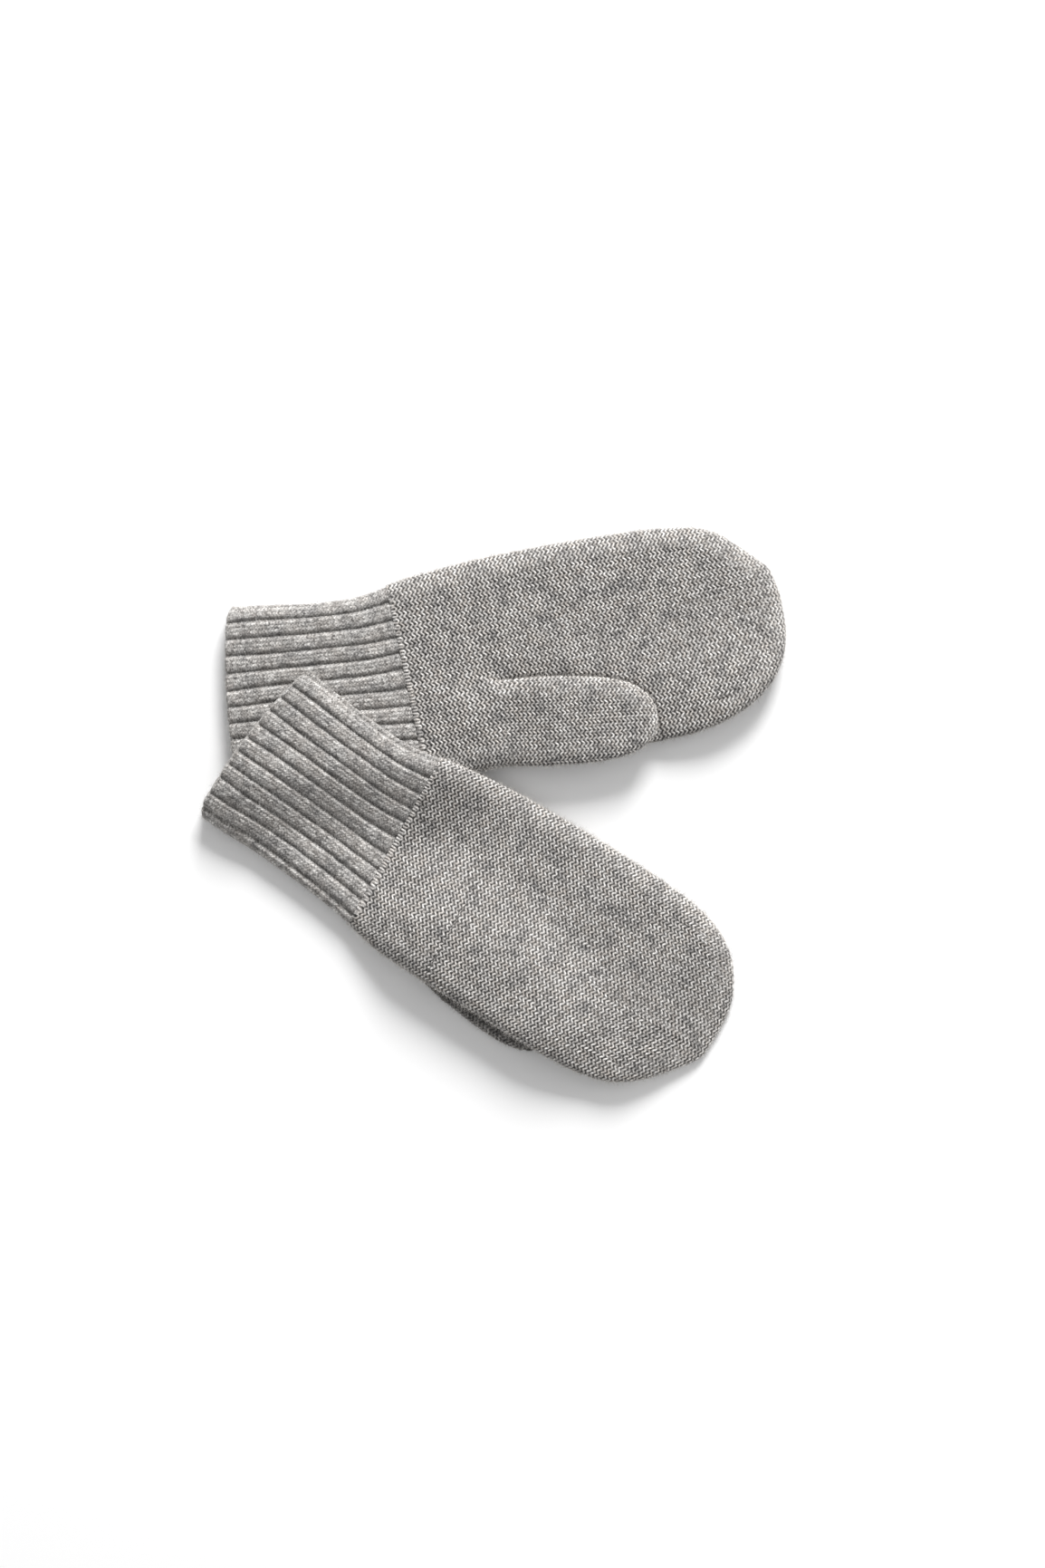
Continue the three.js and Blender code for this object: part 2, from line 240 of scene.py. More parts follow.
# The cuff: the bow, corners, ribs and rounding of its hem, and the bulge of its seam
HEM_BOW = 1.8
HEM_CORNER = 1.7
HEM_CORNER_START = 0.82
HEM_CORNER_MOST = 0.99
HEM_CORNER_REACH = 6.0
HEM_SCALLOP = 0.5
HEM_SCALLOP_REACH = 3.0
HEM_ROUNDING = 1.1
HEM_ROUNDING_REACH = 1.4
HEM_CROWN = 0.75
HEM_CROWN_SHARE = 0.4
HEM_CROWN_ALONG = (0.2, 1.8)
CUFF_ROUND = 100.0
RIB_FADE = 0.6
SEAM_BULGE = 0.25
SEAM_BULGE_POWER = 8

# Share of the outline of a pouch that each of its long sides takes
SIDE_SHARE = 0.36

# The thumb: its base lies along the mouth, and a gusset carries the palm up to it
THUMB_BASE = 26.4
THUMB_BASE_REACH = 16.0
THUMB_MOUTH = 0.9
THUMB_SEWN = 26.44
THUMB_SEWN_EASE = 0.12
SEWN_LOW_EDGE = -30.7
CROTCH_ACROSS = -5.2
GUSSET_START = 1.0
GUSSET_SHOULDER = 15.0
GUSSET_SPREAD = 0.5
GUSSET_ROUND_REACH = 8.0
THUMB_DIP = 0.9
THUMB_DIP_REACH = 0.8
THUMB_DIP_INSIDE = 2.0
THUMB_DIP_ALONG = (THUMB_BASE - 1.0, THUMB_BASE + 5.0)
THUMB_TILT = 0.035
THUMB_TILT_START = -8.0
THUMB_BASE_SINK = 1.3
THUMB_SQUEEZE = 0.7
THUMB_PINCH = 0.9
THUMB_PINCH_REACH = 12.0
THUMB_PRESSED = 1.6
KNIT_TURN_ALONG = (6.0, 36.0)
KNIT_TURN_ACROSS = (-4.0, 8.0)
KNIT_TURN_REACH = 10.0

# Soft forms: fuller edges, the climb over the other cuff, the hump over a thumb, and rises
EDGE_FULLNESS = 0.62
FULL_BY_CUFF = {Face.UPPER: 1.0, Face.LOWER: 0.1}
FULL_FROM = (14.0, 46.0)
FULL_SIDE = (-0.2, 0.8)
LEAST_EDGE = 0.05
UNEVEN_RISE = 0.7
UNEVEN_REACH = 15.0
UNEVEN_SEED = 3
UNEVEN_PLACE = 20
UNEVEN_ALONG = (8.0, 40.0)
UNEVEN_BY_THUMB = 6.0
CLIMB_START = -19.0
CLIMB_END = 5.0
CLIMB_SPREAD = 5.0
CLIMB_SPREAD_ALONG = (-25.0, 8.0)
CLIMB_FADE_ALONG = (2.0, 34.0)
THUMB_LIFT = 3.6
THUMB_HUMP_REACH = 17.0
THUMB_HUMP_TOP = 6.0
THUMB_HUMP_START = 16.0

# What only one of the mittens has
LEFT_PUFFS = (
    Puff(along=20.0, across=-17.5, reach_along=20.0, reach_across=8.0, rise=1.2),
    Puff(along=88.0, across=-20.0, reach_along=13.0, reach_across=8.0, rise=0.5),
)
TIP_LIFT = 2.0
TIP_LIFT_ALONG = (70.0, 92.0)
TIP_LIFT_ACROSS = (2.0, 24.0)
TIP_PRESS = 0.65
TIP_PRESS_ALONG = (90.0, 114.0)
# Painted shadow on the left thumb along the edge of the hand that overhangs it
CREASE_SHADE = 0.8
CREASE_REACH = 2.2

# How many samples stand for a smooth line
HAND_SAMPLES = 61
CUFF_SAMPLES = 10
THUMB_SAMPLES = 41
CREASE_SAMPLES = 121
RING_SAMPLES = 241
BAND_SAMPLES = 400


def smoothstep(value: np.ndarray, low: float, high: float) -> np.ndarray:
    """Ease from 0 at low to 1 at high."""
    share = np.clip((value - low) / (high - low), 0.0, 1.0)
    return share * share * (3.0 - 2.0 * share)


class PlanCurve:
    """Smooth curve through key points in plan, walked by share of its length."""

    SAMPLES = 60

    def __init__(self, keys: Points, end_ease: float = 0.0) -> None:
        """Lay the curve.

        Args:
            keys: the key points, one row each.
            end_ease: share of the length over which its inward directions turn at the ends.
        """
        keys = np.asarray(keys, float)
        self.end_ease = end_ease
        padded = np.vstack([keys[:1], keys, keys[-1:]])
        t = np.linspace(0.0, 1.0, self.SAMPLES, endpoint=False)[:, None]
        stretches = []
        for a, b, c, d in zip(padded[:-3], padded[1:-2], padded[2:-1], padded[3:]):
            lead = (c - a) / 2
            trail = (d - b) / 2
            cubic = (2 * b - 2 * c + lead + trail) * t**3
            stretches.append(cubic + (-3 * b + 3 * c - 2 * lead - trail) * t**2 + lead * t + b)
        self.points = np.vstack([*stretches, keys[-1:]])
        steps = np.linalg.norm(np.diff(self.points, axis=0), axis=1)
        self.travel = np.concatenate([[0.0], np.cumsum(steps)])

    @property
    def length(self) -> float:
        """Length of the whole curve."""
        return float(self.travel[-1])

    def at(self, share: np.ndarray) -> Points:
        """Points at shares of the length."""
        reach = np.asarray(share) * self.length
        return np.stack([np.interp(reach, self.travel, axis) for axis in self.points.T], axis=-1)

    def inward(self, share: np.ndarray) -> Points:
        """Unit directions into the cloth; at the two open ends they run along the mouth.

        Args:
            share: shares of the length, from 0 to 1.

        Returns:
            One direction for each share.
        """
        step = 1e-3
        tangent = self.at(np.clip(share + step, 0, 1)) - self.at(np.clip(share - step, 0, 1))
        tangent /= np.linalg.norm(tangent, axis=1)[:, None]
        turned = np.stack([tangent[:, 1], -tangent[:, 0]], axis=1)
        ease = max(self.end_ease, TINY)
        for reach, straight in ((share, (0.0, -1.0)), (1.0 - share, (0.0, 1.0))):
            weight = smoothstep(reach, 0.0, ease)[:, None]
            turned = turned * weight + np.array(straight) * (1 - weight)
        return turned / np.linalg.norm(turned, axis=1)[:, None]


def depth_inside(points: Points, outline: Points) -> np.ndarray:
    """Signed distance from points to a closed outline, positive inside it.

    Args:
        points: the points in plan, one row each.
        outline: corners of the outline, one row each.

    Returns:
        One distance for each point.
    """
    nearest = np.full(len(points), np.inf)
    inside = np.zeros(len(points), bool)
    for a, b in zip(outline, np.roll(outline, -1, axis=0)):
        edge = b - a
        reach = points - a
        share = np.clip(reach @ edge / max(edge @ edge, TINY), 0.0, 1.0)
        nearest = np.minimum(nearest, np.linalg.norm(reach - share[:, None] * edge, axis=1))
        if a[1] != b[1]:
            crosses = (a[1] > points[:, 1]) != (b[1] > points[:, 1])
            crossing = a[0] + (points[:, 1] - a[1]) * edge[0] / edge[1]
            inside ^= crosses & (points[:, 0] < crossing)
    return np.where(inside, nearest, -nearest)


class SmoothNoise:
    """Seeded value noise on a plane, from 0 to 1.

    A whole number added to a place reads another part of the table, so that draws stay apart.
    """

    SIZE = 97

    def __init__(self, seed: int) -> None:
        """Draw the table of values from a seed."""
        self.table = np.random.default_rng(seed).random((self.SIZE, self.SIZE))

    def cell(self, x: np.ndarray, y: np.ndarray) -> np.ndarray:
        """The value of the cell that each point lies in.

        Args:
            x: first coordinates of the points, in cells.
            y: second coordinates of the points.

        Returns:
            One value for each point.
        """
        column = np.floor(x).astype(int) % self.SIZE
        row = np.floor(y).astype(int) % self.SIZE
        return self.table[row, column]

    def at(self, x: np.ndarray, y: np.ndarray) -> np.ndarray:
        """Values eased between the cells.

        Args:
            x: first coordinates of the points, in cells.
            y: second coordinates of the points.

        Returns:
            One value for each point.
        """
        ease_x = smoothstep(x - np.floor(x), 0.0, 1.0)
        ease_y = smoothstep(y - np.floor(y), 0.0, 1.0)
        low = self.cell(x, y) * (1 - ease_x) + self.cell(x + 1, y) * ease_x
        high = self.cell(x, y + 1) * (1 - ease_x) + self.cell(x + 1, y + 1) * ease_x
        return low * (1 - ease_y) + high * ease_y


@dataclass(frozen=True)
class Stitches:
    """What the stitches do at each point of a knit face.

    Height is their rise in millimetres, light is the painted shade of the stitches, from 0
    between the loops, where shade falls, to 1 on their crowns, and tone is the shade of the yarn
    that each one is made of.
    """

    height: np.ndarray
    light: np.ndarray
    tone: np.ndarray

    PLAIN_LIGHT = 0.6
    PLAIN_TONE = 0.5

    @classmethod
    def none(cls, shape: tuple[int, ...]) -> "Stitches":
        """A plain face, as inside a wall of knit."""
        return cls(np.zeros(shape), np.full(shape, cls.PLAIN_LIGHT), np.full(shape, cls.PLAIN_TONE))


OpenCells = tuple[np.ndarray, np.ndarray]
MouthRule = Callable[[Points], OpenCells]
KnitRule = Callable[[Points], Stitches]


@dataclass(frozen=True)
class PurlKnit:
    """Reverse stocking stitch: courses of yarn that wave from wale to wale."""

    gauge: Gauge = HAND_GAUGE
    rise: float = 0.5
    wave: float = 0.27
    slant: float = 0.05
    drift: float = 0.35
    wale_drift_size: float = 13.0
    course_drift_size: float = 15.0
    own_shift: float = 0.10
    sharpness: float = 1.25
    flank: float = 0.14
    dullest: float = 0.9
    own_light: float = 0.2
    seed: int = 5

    def stitches(self, along: np.ndarray, across: np.ndarray) -> Stitches:
        """The stitches at places of the knit.

        Args:
            along: millimetres along the wales.
            across: millimetres across them.

        Returns:
            The stitches at each place.
        """
        noise = SmoothNoise(self.seed)
        size = self.wale_drift_size
        wale = across / self.gauge.wale + self.drift * (noise.at(along / size, across / size) - 0.5)
        size = self.course_drift_size
        course = along / self.gauge.course
        course = course + self.drift * (noise.at(along / size + 40, across / size) - 0.5)
        line = course + self.wave * np.cos(TAU * wale) + self.slant * np.sin(TAU * wale)
        # One stroke of yarn reaches over half a wale, and strokes differ a little
        stroke = np.floor(2 * wale) + 0.5
        row = np.floor(line + 0.5) + 0.5
        own = noise.cell(row, stroke)
        ridge = 0.5 + 0.5 * np.cos(TAU * (line + self.own_shift * (own - 0.5)))
        flank = -self.flank * np.cos(2 * TAU * wale)
        strength = self.dullest + self.own_light * noise.cell(row + 31, stroke)
        # Painted shade: the light is dark between the courses and lighter on the crowns of the strokes
        light = np.clip(ridge**self.sharpness * strength + flank, 0.0, 1.0)
        tone = noise.cell(row + 7, stroke + 50)
        return Stitches(self.rise * (light - 0.5), light, tone)


@dataclass(frozen=True)
class RibKnit:
    """Rib of two knitted wales and one sunken purl wale, round the cuff."""

    # Strength of a strand that lies level with the rib
    STRAND_MIDDLE = 0.4

    crown_shift: float
    gauge: Gauge = CUFF_GAUGE
    ribs: int = RIBS_ROUND
    lit_shoulder: float = 0.5
    dark_shoulder: float = 0.78
    foot: float = 1.0
    rounding: float = 0.22
    lean: float = 0.16
    uneven: float = 0.16
    uneven_size: float = 3.5
    waver: float = 0.18
    waver_size: float = 17.0
    waver_ribs: float = 1.7
    strand_step: float = 0.235
    strand_rise: float = 0.24
    strand_depth: float = 0.26
    leg_slant: float = 0.85
    leg_shift: float = 0.5
    chain_depth: float = 0.75
    course_drift: float = 0.3
    course_drift_size: float = 7.0
    bar_level: float = 0.30
    bar_depth: float = 0.25
    bar_wave: float = 0.25
    crown_span: tuple[float, float] = (0.25, 0.7)
    own_depth: float = 0.5
    brightness: float = 0.75
    darkest: float = 0.3
    valley_painted_shade: float = 0.14
    grain: float = 0.16
    grain_size: float = 0.45
    rib_width: float = 5.05
    seed: int = 8

    def count(self, along: np.ndarray, turn: np.ndarray) -> np.ndarray:
        """How many ribs lie before each place, where a rib's crown is at a half.

        Args:
            along: millimetres from the hem.
            turn: shares of the way round the cuff.

        Returns:
            The number of ribs before each place, with its fraction.
        """
        noise = SmoothNoise(self.seed + 1)
        ribs = turn * self.ribs
        waver = self.waver * (noise.at(along / self.waver_size, ribs / self.waver_ribs) - 0.5)
        return ribs + self.crown_shift + waver

    def crown(self, along: np.ndarray, turn: np.ndarray) -> np.ndarray:
        """Height of the rib's rounded section, from 0 in the valley to 1 on the crown.

        Args:
            along: millimetres from the hem.
            turn: shares of the way round the cuff.

        Returns:
            The height at each place.
        """
        count = self.count(along, turn)
        place = count % 1.0 - 0.5
        valley = np.rint(count)
        pull = SmoothNoise(self.seed + 2).at(along / self.uneven_size, valley * 3.0 + 0.5) - 0.5
        spread = np.abs(place) * 2.0 * (1 + self.uneven * pull)
        # The flank towards the thumb's side is steep, and shades the valley beside it
        shoulder = np.where(place < 0.0, self.lit_shoulder, self.dark_shoulder)
        section = 1.0 - smoothstep(spread, shoulder, self.foot)
        return section * (1.0 - self.rounding * spread**2 - self.lean * place)

    def stitches(self, along: np.ndarray, turn: np.ndarray) -> Stitches:
        """The stitches on a rib: two chains of V on its crown and short bars in the valley.

        Args:
            along: millimetres from the hem.
            turn: shares of the way round the cuff.

        Returns:
            The stitches at each place.
        """
        noise = SmoothNoise(self.seed)
        count = self.count(along, turn)
        rib = np.floor(count)
        place = count - rib - 0.5
        strand = place / self.strand_step
        tilt = np.abs((strand % 1.0) - 0.5) * 2.0
        drift = self.course_drift * (noise.at(along / self.course_drift_size, rib * 3.0) - 0.5)
        course = along / self.gauge.course + drift
        shift = self.leg_shift * (noise.cell(rib + 5, np.rint(strand) + 9) - 0.5)
        legs = course + self.leg_slant * tilt + shift
        row = np.floor(legs) + 0.5
        chain = 0.5 + 0.5 * np.cos(TAU * legs)
        column = np.rint(strand) + 0.5 + 7 * rib
        leg = 1 - self.strand_depth + self.strand_depth * np.cos(TAU * strand)
        leg = leg * (1 - self.chain_depth + self.chain_depth * chain)
        wave = self.bar_wave * np.cos(TAU * 4 * place)
        bars = self.bar_level + self.bar_depth * np.cos(TAU * (course + wave))
        crown = self.crown(along, turn)
        on_crown = smoothstep(crown, *self.crown_span)
        shape = leg * on_crown + bars * (1 - on_crown)
        shape = shape * (1 + self.own_depth * (noise.cell(row, column) - 0.5))
        # Painted shade: darker between the strands and in the valleys, lighter on the crowns of the ribs
        light = np.clip(shape * self.brightness + self.darkest, 0.0, 1.0)
        light = light * (1 - self.valley_painted_shade * (1 - np.minimum(crown, 1.0)))
        tone = noise.cell(row + 11, column + 40)
        grain = noise.at(along / self.grain_size, count * self.rib_width / self.grain_size) - 0.5
        height = self.strand_rise * (shape - self.STRAND_MIDDLE) + self.grain * grain
        return Stitches(height, light, tone)


@dataclass(frozen=True)
class Placement:
    """Where one mitten lies: its turn in degrees and the middle of its cuff seam."""

    name: str
    turn: float
    x: float
    y: float
    length: float
    thumb_swing: float
    palm_face: Face
    tip: tuple[tuple[float, float], ...]

    def on_table(self, plan: Points) -> Points:
        """Plan points of the mitten on the table.

        Args:
            plan: places in the plan of the mitten, in the last axis.

        Returns:
            The same places on the table, in millimetres.
        """
        angle = math.radians(self.turn)
        along = np.array([math.cos(angle), math.sin(angle)])
        across = np.array([-along[1], along[0]])
        return plan[..., :1] * along + plan[..., 1:2] * across + np.array([self.x, self.y])

    def hand_curve(self) -> PlanCurve:
        """Outline of the hand, stretched to this mitten's length."""
        keys = np.insert(np.array(HAND_OUTLINE), TIP_PLACE, self.tip, axis=0)
        return PlanCurve(keys * (self.length / HAND_LENGTH, 1.0))

    def thumb_curve(self) -> PlanCurve:
        """Outline of the thumb, swung about the middle of its base.

        Returns:
            The curve from the crotch round the tip to the lower edge of the mouth.
        """
        keys = np.array(THUMB_OUTLINE)
        pivot = np.array([keys[0, 0], (keys[0, 1] + keys[-1, 1]) / 2])
        angle = math.radians(self.thumb_swing)
        turn = np.array([[math.cos(angle), math.sin(angle)], [-math.sin(angle), math.cos(angle)]])
        keys[1:-1] = (keys[1:-1] - pivot) @ turn + pivot
        return PlanCurve(keys)

    def sewn_thumb_curve(self) -> PlanCurve:
        """Outline of the thumb, carried back until it meets the raised edge of its mouth.

        Returns:
            The curve, which leaves out the first and last stretches of the plain outline.
        """
        curve = self.thumb_curve()
        ends = np.array([(THUMB_SEWN, CROTCH_ACROSS), (THUMB_SEWN, SEWN_LOW_EDGE)])
        left_out = PlanCurve.SAMPLES * 3 // 4
        kept = curve.points[left_out : -left_out : PlanCurve.SAMPLES // 4]
        return PlanCurve(np.vstack([ends[:1], kept, ends[1:]]), end_ease=THUMB_SEWN_EASE)

    def outline_on_table(self) -> Points:
        """Closed outline of the hand and the cuff on the table.

        Returns:
            Corners of the outline in millimetres, one row each.
        """
        hand = self.hand_curve().at(np.linspace(0.0, 1.0, HAND_SAMPLES))
        sides = np.linspace(0.0, 1.0, CUFF_SAMPLES)
        low = PlanCurve(CUFF_LOW).at(sides)[::-1]
        top = PlanCurve(CUFF_TOP).at(sides)
        return self.on_table(np.vstack([hand, low, top]))


RIGHT = Placement(
    name="right",
    turn=11.7,
    x=-25.34,
    y=36.56,
    length=113.4,
    thumb_swing=0.0,
    palm_face=Face.UPPER,
    tip=RIGHT_TIP,
)
LEFT = Placement(
    name="left",
    turn=-29.5,
    x=-29.24,
    y=-11.24,
    length=111.0,
    thumb_swing=-1.6,
    palm_face=Face.LOWER,
    tip=LEFT_TIP,
)


def gusset_share(plan: Points) -> np.ndarray:
    """How high the palm is raised towards the mouth of the thumb, from 0 to 1.

    Args:
        plan: places in the plan of the mitten, one row each.

    Returns:
        The share of the full height at each place.
    """
    crotch = CROTCH_ACROSS + (THUMB_BASE - plan[:, 0]) * GUSSET_SPREAD
    climb = smoothstep(plan[:, 0], GUSSET_START, THUMB_BASE)
    inside = np.maximum(crotch - plan[:, 1], 0.0)
    soft = smoothstep(inside, 0.0, GUSSET_SHOULDER)
    # At its mouth the shoulder has the round edge of the thumb
    round_edge = np.sqrt(1 - (1 - np.clip(inside / CLOTH.thumb_edge, 0.0, 1.0)) ** 2)
    to_mouth = smoothstep(plan[:, 0], THUMB_BASE - GUSSET_ROUND_REACH, THUMB_BASE)
    shoulder = soft + (round_edge - soft) * to_mouth
    return np.where(plan[:, 0] > THUMB_BASE + THUMB_MOUTH / 2, 0.0, climb * shoulder)


def near_thumb_base(plan: Points) -> np.ndarray:
    """Share that is 1 where the thumb leaves the palm and 0 further along it."""
    return 1 - smoothstep(plan[..., 0], THUMB_BASE, THUMB_BASE + THUMB_BASE_REACH)


def thumb_sink(plan: Points) -> np.ndarray:
    """How far the middle of the thumb on the palm lies under that of a level one."""
    tilt = THUMB_TILT * np.maximum(THUMB_TILT_START - plan[..., 1], 0.0)
    return tilt + THUMB_BASE_SINK * near_thumb_base(plan)


class Bed:
    """Height that what lies beneath gives to the hand and cuff of one mitten."""

    def __init__(self, mitten: Placement) -> None:
        """Lay out what the bed is made of.

        Args:
            mitten: the mitten that lies on this bed.
        """
        self.mitten = mitten
        self.beneath = RIGHT.outline_on_table()
        self.thumb = mitten.thumb_curve().at(np.linspace(0.0, 1.0, THUMB_SAMPLES))
        ends = [(THUMB_HUMP_START, THUMB_OUTLINE[-1][1]), (THUMB_HUMP_START, THUMB_OUTLINE[0][1])]
        self.hump = np.vstack([self.thumb, ends])

    def height(self, plan: Points) -> np.ndarray:
        """Heights of the bed.

        Args:
            plan: places in the plan of the mitten, in the last axis.

        Returns:
            The height under each place, in millimetres.
        """
        flat = plan.reshape(-1, 2)
        if self.mitten is RIGHT:
            lift = smoothstep(flat[:, 0], *TIP_LIFT_ALONG)
            lift = TIP_LIFT * lift * smoothstep(-flat[:, 1], *TIP_LIFT_ACROSS)
            return lift.reshape(plan.shape[:-1])
        over_cuff = depth_inside(self.mitten.on_table(flat), self.beneath)
        # The hand climbs more gently than the cuff
        start = CLIMB_START - CLIMB_SPREAD * smoothstep(flat[:, 0], *CLIMB_SPREAD_ALONG)
        climb = (CLOTH.cuff_height + CLOTH.piece_gap) * smoothstep(over_cuff, start, CLIMB_END)
        climb = climb * (1 - smoothstep(flat[:, 0], *CLIMB_FADE_ALONG))
        ramp = smoothstep(depth_inside(flat, self.hump), -THUMB_HUMP_REACH, THUMB_HUMP_TOP)
        hump = THUMB_LIFT * np.maximum(ramp, gusset_share(flat))
        return (climb + hump).reshape(plan.shape[:-1])


@dataclass
class Patch:
    """A block of a sheet laid out in rows: ids of its points, their knit coordinates, its gaps."""

    ids: np.ndarray
    knit: np.ndarray
    reversed: bool
    gaps: np.ndarray

    def quads(self) -> tuple[np.ndarray, np.ndarray]:
        """Faces of the patch, without the cells that are left open.

        Returns:
            The faces as ids of points, and as knit coordinates.
        """
        corners = []
        knits = []
        for rows, columns in ((0, 0), (0, 1), (1, 1), (1, 0)):
            block = (slice(rows, rows - 1 or None), slice(columns, columns - 1 or None))
            corners.append(self.ids[block][~self.gaps])
            knits.append(self.knit[block][~self.gaps])
        faces = np.stack(corners, axis=1)
        coordinates = np.stack(knits, axis=1)
        if self.reversed:
            return faces[:, ::-1], coordinates[:, ::-1]
        return faces, coordinates


class Sheet:
    """One face of a wall of cloth, as patches that share points."""

    def __init__(self) -> None:
        """Start with no points."""
        self.points: list[Points] = []
        self.stitches: list[Stitches] = []
        self.patches: list[Patch] = []
        self.count = 0

    def add_points(self, points: Points, stitches: Stitches) -> np.ndarray:
        """Add a block of points.

        Args:
            points: the points, in the last axis.
            stitches: the stitches at the points, in the same layout.

        Returns:
            The ids of the points, in the same layout.
        """
        ids = self.count + np.arange(points[..., 0].size).reshape(points.shape[:-1])
        self.points.append(points.reshape(-1, 3))
        self.stitches.append(stitches)
        self.count += ids.size
        return ids

    def press(self, share: HeightRule) -> None:
        """Press the points down to a share of their height over the table."""
        for points in self.points:
            points[:, 2] *= share(points[:, :2])

    def shade(self, share: HeightRule) -> None:
        """Paint shade into the stitches: keep only a share of their light."""
        for points, stitches in zip(self.points, self.stitches):
            stitches.light[...] *= share(points[:, :2]).reshape(stitches.light.shape)

    def all_points(self) -> Points:
        """Every point, one row each."""
        return np.vstack(self.points)

    def all_values(self, name: str) -> np.ndarray:
        """One value of the stitches at every point."""
        return np.concatenate([getattr(part, name).reshape(-1) for part in self.stitches])

    def faces(self) -> tuple[np.ndarray, np.ndarray]:
        """Every face, as ids and as knit coordinates."""
        parts = [patch.quads() for patch in self.patches]
        return np.vstack([part[0] for part in parts]), np.vstack([part[1] for part in parts])


def vertex_normals(points: Points, faces: np.ndarray) -> Points:
    """Unit normals of the points of a sheet.

    Args:
        points: the points, one row each.
        faces: the faces as ids of four points each.

    Returns:
        One normal for each point.
    """
    a, b, c, d = (points[faces[:, corner]] for corner in range(4))
    face_normals = np.cross(c - a, d - b)
    normals = np.zeros_like(points)
    for corner in range(4):
        for axis in range(3):
            normals[:, axis] += np.bincount(
                faces[:, corner], weights=face_normals[:, axis], minlength=len(points)
            )
    return normals / np.maximum(np.linalg.norm(normals, axis=1)[:, None], TINY)


def rim_faces(outer: Sheet, inner: Sheet) -> list[list[int]]:
    """Faces that close a wall along every free edge of its coarse inner face.

    Args:
        outer: the fine face of the wall.
        inner: the coarse face, with the same patches in the same order.

    Returns:
        Faces in ids of the outer face, and of the inner face counted on after them.
    """
    free: dict[tuple[int, int], tuple[int, tuple[int, int], tuple[int, int]]] = {}
    turn = ((0, 0), (0, 1), (1, 1), (1, 0))
    for number, patch in enumerate(inner.patches):
        ring = turn[::-1] if patch.reversed else turn
        for row, column in np.argwhere(~patch.gaps):
            corners = [(row + down, column + over) for down, over in ring]
            for start, end in zip(corners, corners[1:] + corners[:1]):
                edge = (int(patch.ids[start]), int(patch.ids[end]))
                if edge[::-1] in free:
                    del free[edge[::-1]]
                else:
                    free[edge] = (number, start, end)
    faces = []
    for (start_id, end_id), (number, start, end) in free.items():
        coarse = inner.patches[number]
        fine = outer.patches[number]
        steps_down = (fine.ids.shape[0] - 1) // (coarse.ids.shape[0] - 1)
        steps_over = (fine.ids.shape[1] - 1) // (coarse.ids.shape[1] - 1)
        steps = steps_down if start[0] != end[0] else steps_over
        share = np.linspace(0.0, 1.0, steps + 1)
        rows = np.rint((start[0] + (end[0] - start[0]) * share) * steps_down).astype(int)
        columns = np.rint((start[1] + (end[1] - start[1]) * share) * steps_over).astype(int)
        path = fine.ids[rows, columns].tolist()
        faces.append([*path[::-1], outer.count + start_id, outer.count + end_id])
    return faces


def triangles(mesh: bpy.types.Mesh) -> int:
    """Number of triangles that the faces of a mesh make."""
    return len(mesh.loops) - 2 * len(mesh.polygons)


@dataclass
class Piece:
    """A built piece, with the points and normals of its outer face in metres on the table."""

    thing: bpy.types.Object
    points: Points
    normals: Points


def wall_object(name: str, outer: Sheet, inner: Sheet, place: Placement) -> Piece:
    """Build a closed wall of cloth from its two faces.

    Args:
        name: name of the piece.
        outer: fine outer face, with the relief of its stitches.
        inner: coarse plain inner face.
        place: where the mitten lies.

    Returns:
        The built piece.
    """
    base = outer.all_points()
    outer_faces, outer_knit = outer.faces()
    inner_faces, inner_knit = inner.faces()
    normals = vertex_normals(base, outer_faces)
    raised = base + normals * outer.all_values("height")[:, None]
    raised[:, 2] = np.maximum(raised[:, 2], 0.0)
    plan = np.vstack([raised, inner.all_points()])
    points = np.column_stack([place.on_table(plan[:, :2]), plan[:, 2]]) * MM
    rims = rim_faces(outer, inner)
    faces = [*outer_faces.tolist(), *(inner_faces[:, ::-1] + outer.count).tolist(), *rims]
    mesh = bpy.data.meshes.new(name)
    mesh.from_pydata(points.tolist(), [], faces)
    knit = mesh.uv_layers.new(name="knit")
    rim_knit = np.zeros(2 * sum(len(face) for face in rims))
    knit.data.foreach_set(
        "uv", np.concatenate([outer_knit.ravel(), inner_knit[:, ::-1].ravel(), rim_knit])
    )
    for quality in ("light", "tone"):
        layer = mesh.attributes.new(f"stitch_{quality}", "FLOAT", "POINT")
        values = [sheet.all_values(quality) for sheet in (outer, inner)]
        layer.data.foreach_set("value", np.concatenate(values))
    smooth = np.ones(len(faces), bool)
    smooth[len(faces) - len(rims):] = False
    mesh.polygons.foreach_set("use_smooth", smooth)
    mesh.update()
    mesh.validate()
    thing = bpy.data.objects.new(name, mesh)
    bpy.context.scene.collection.objects.link(thing)
    turned = place.on_table(normals[:, :2]) - np.array([place.x, place.y])
    return Piece(thing, points[: outer.count], np.column_stack([turned, normals[:, 2]]))


@dataclass
class PouchForm:
    """Heights of one side of a laid pouch.

    Middle is the height of the plane between the two sides, raised what a side stands over its
    half height, rim the height of its edge over the middle plane, and fullness how long its
    shown edge keeps its height.
    """

    face: Face
    wall: float
    half_height: float
    band: float
    gap: float
    middle: HeightRule
    raised: HeightRule
    rim: HeightRule | None = None
    squeezed: bool = False
    fullness: HeightRule | None = None


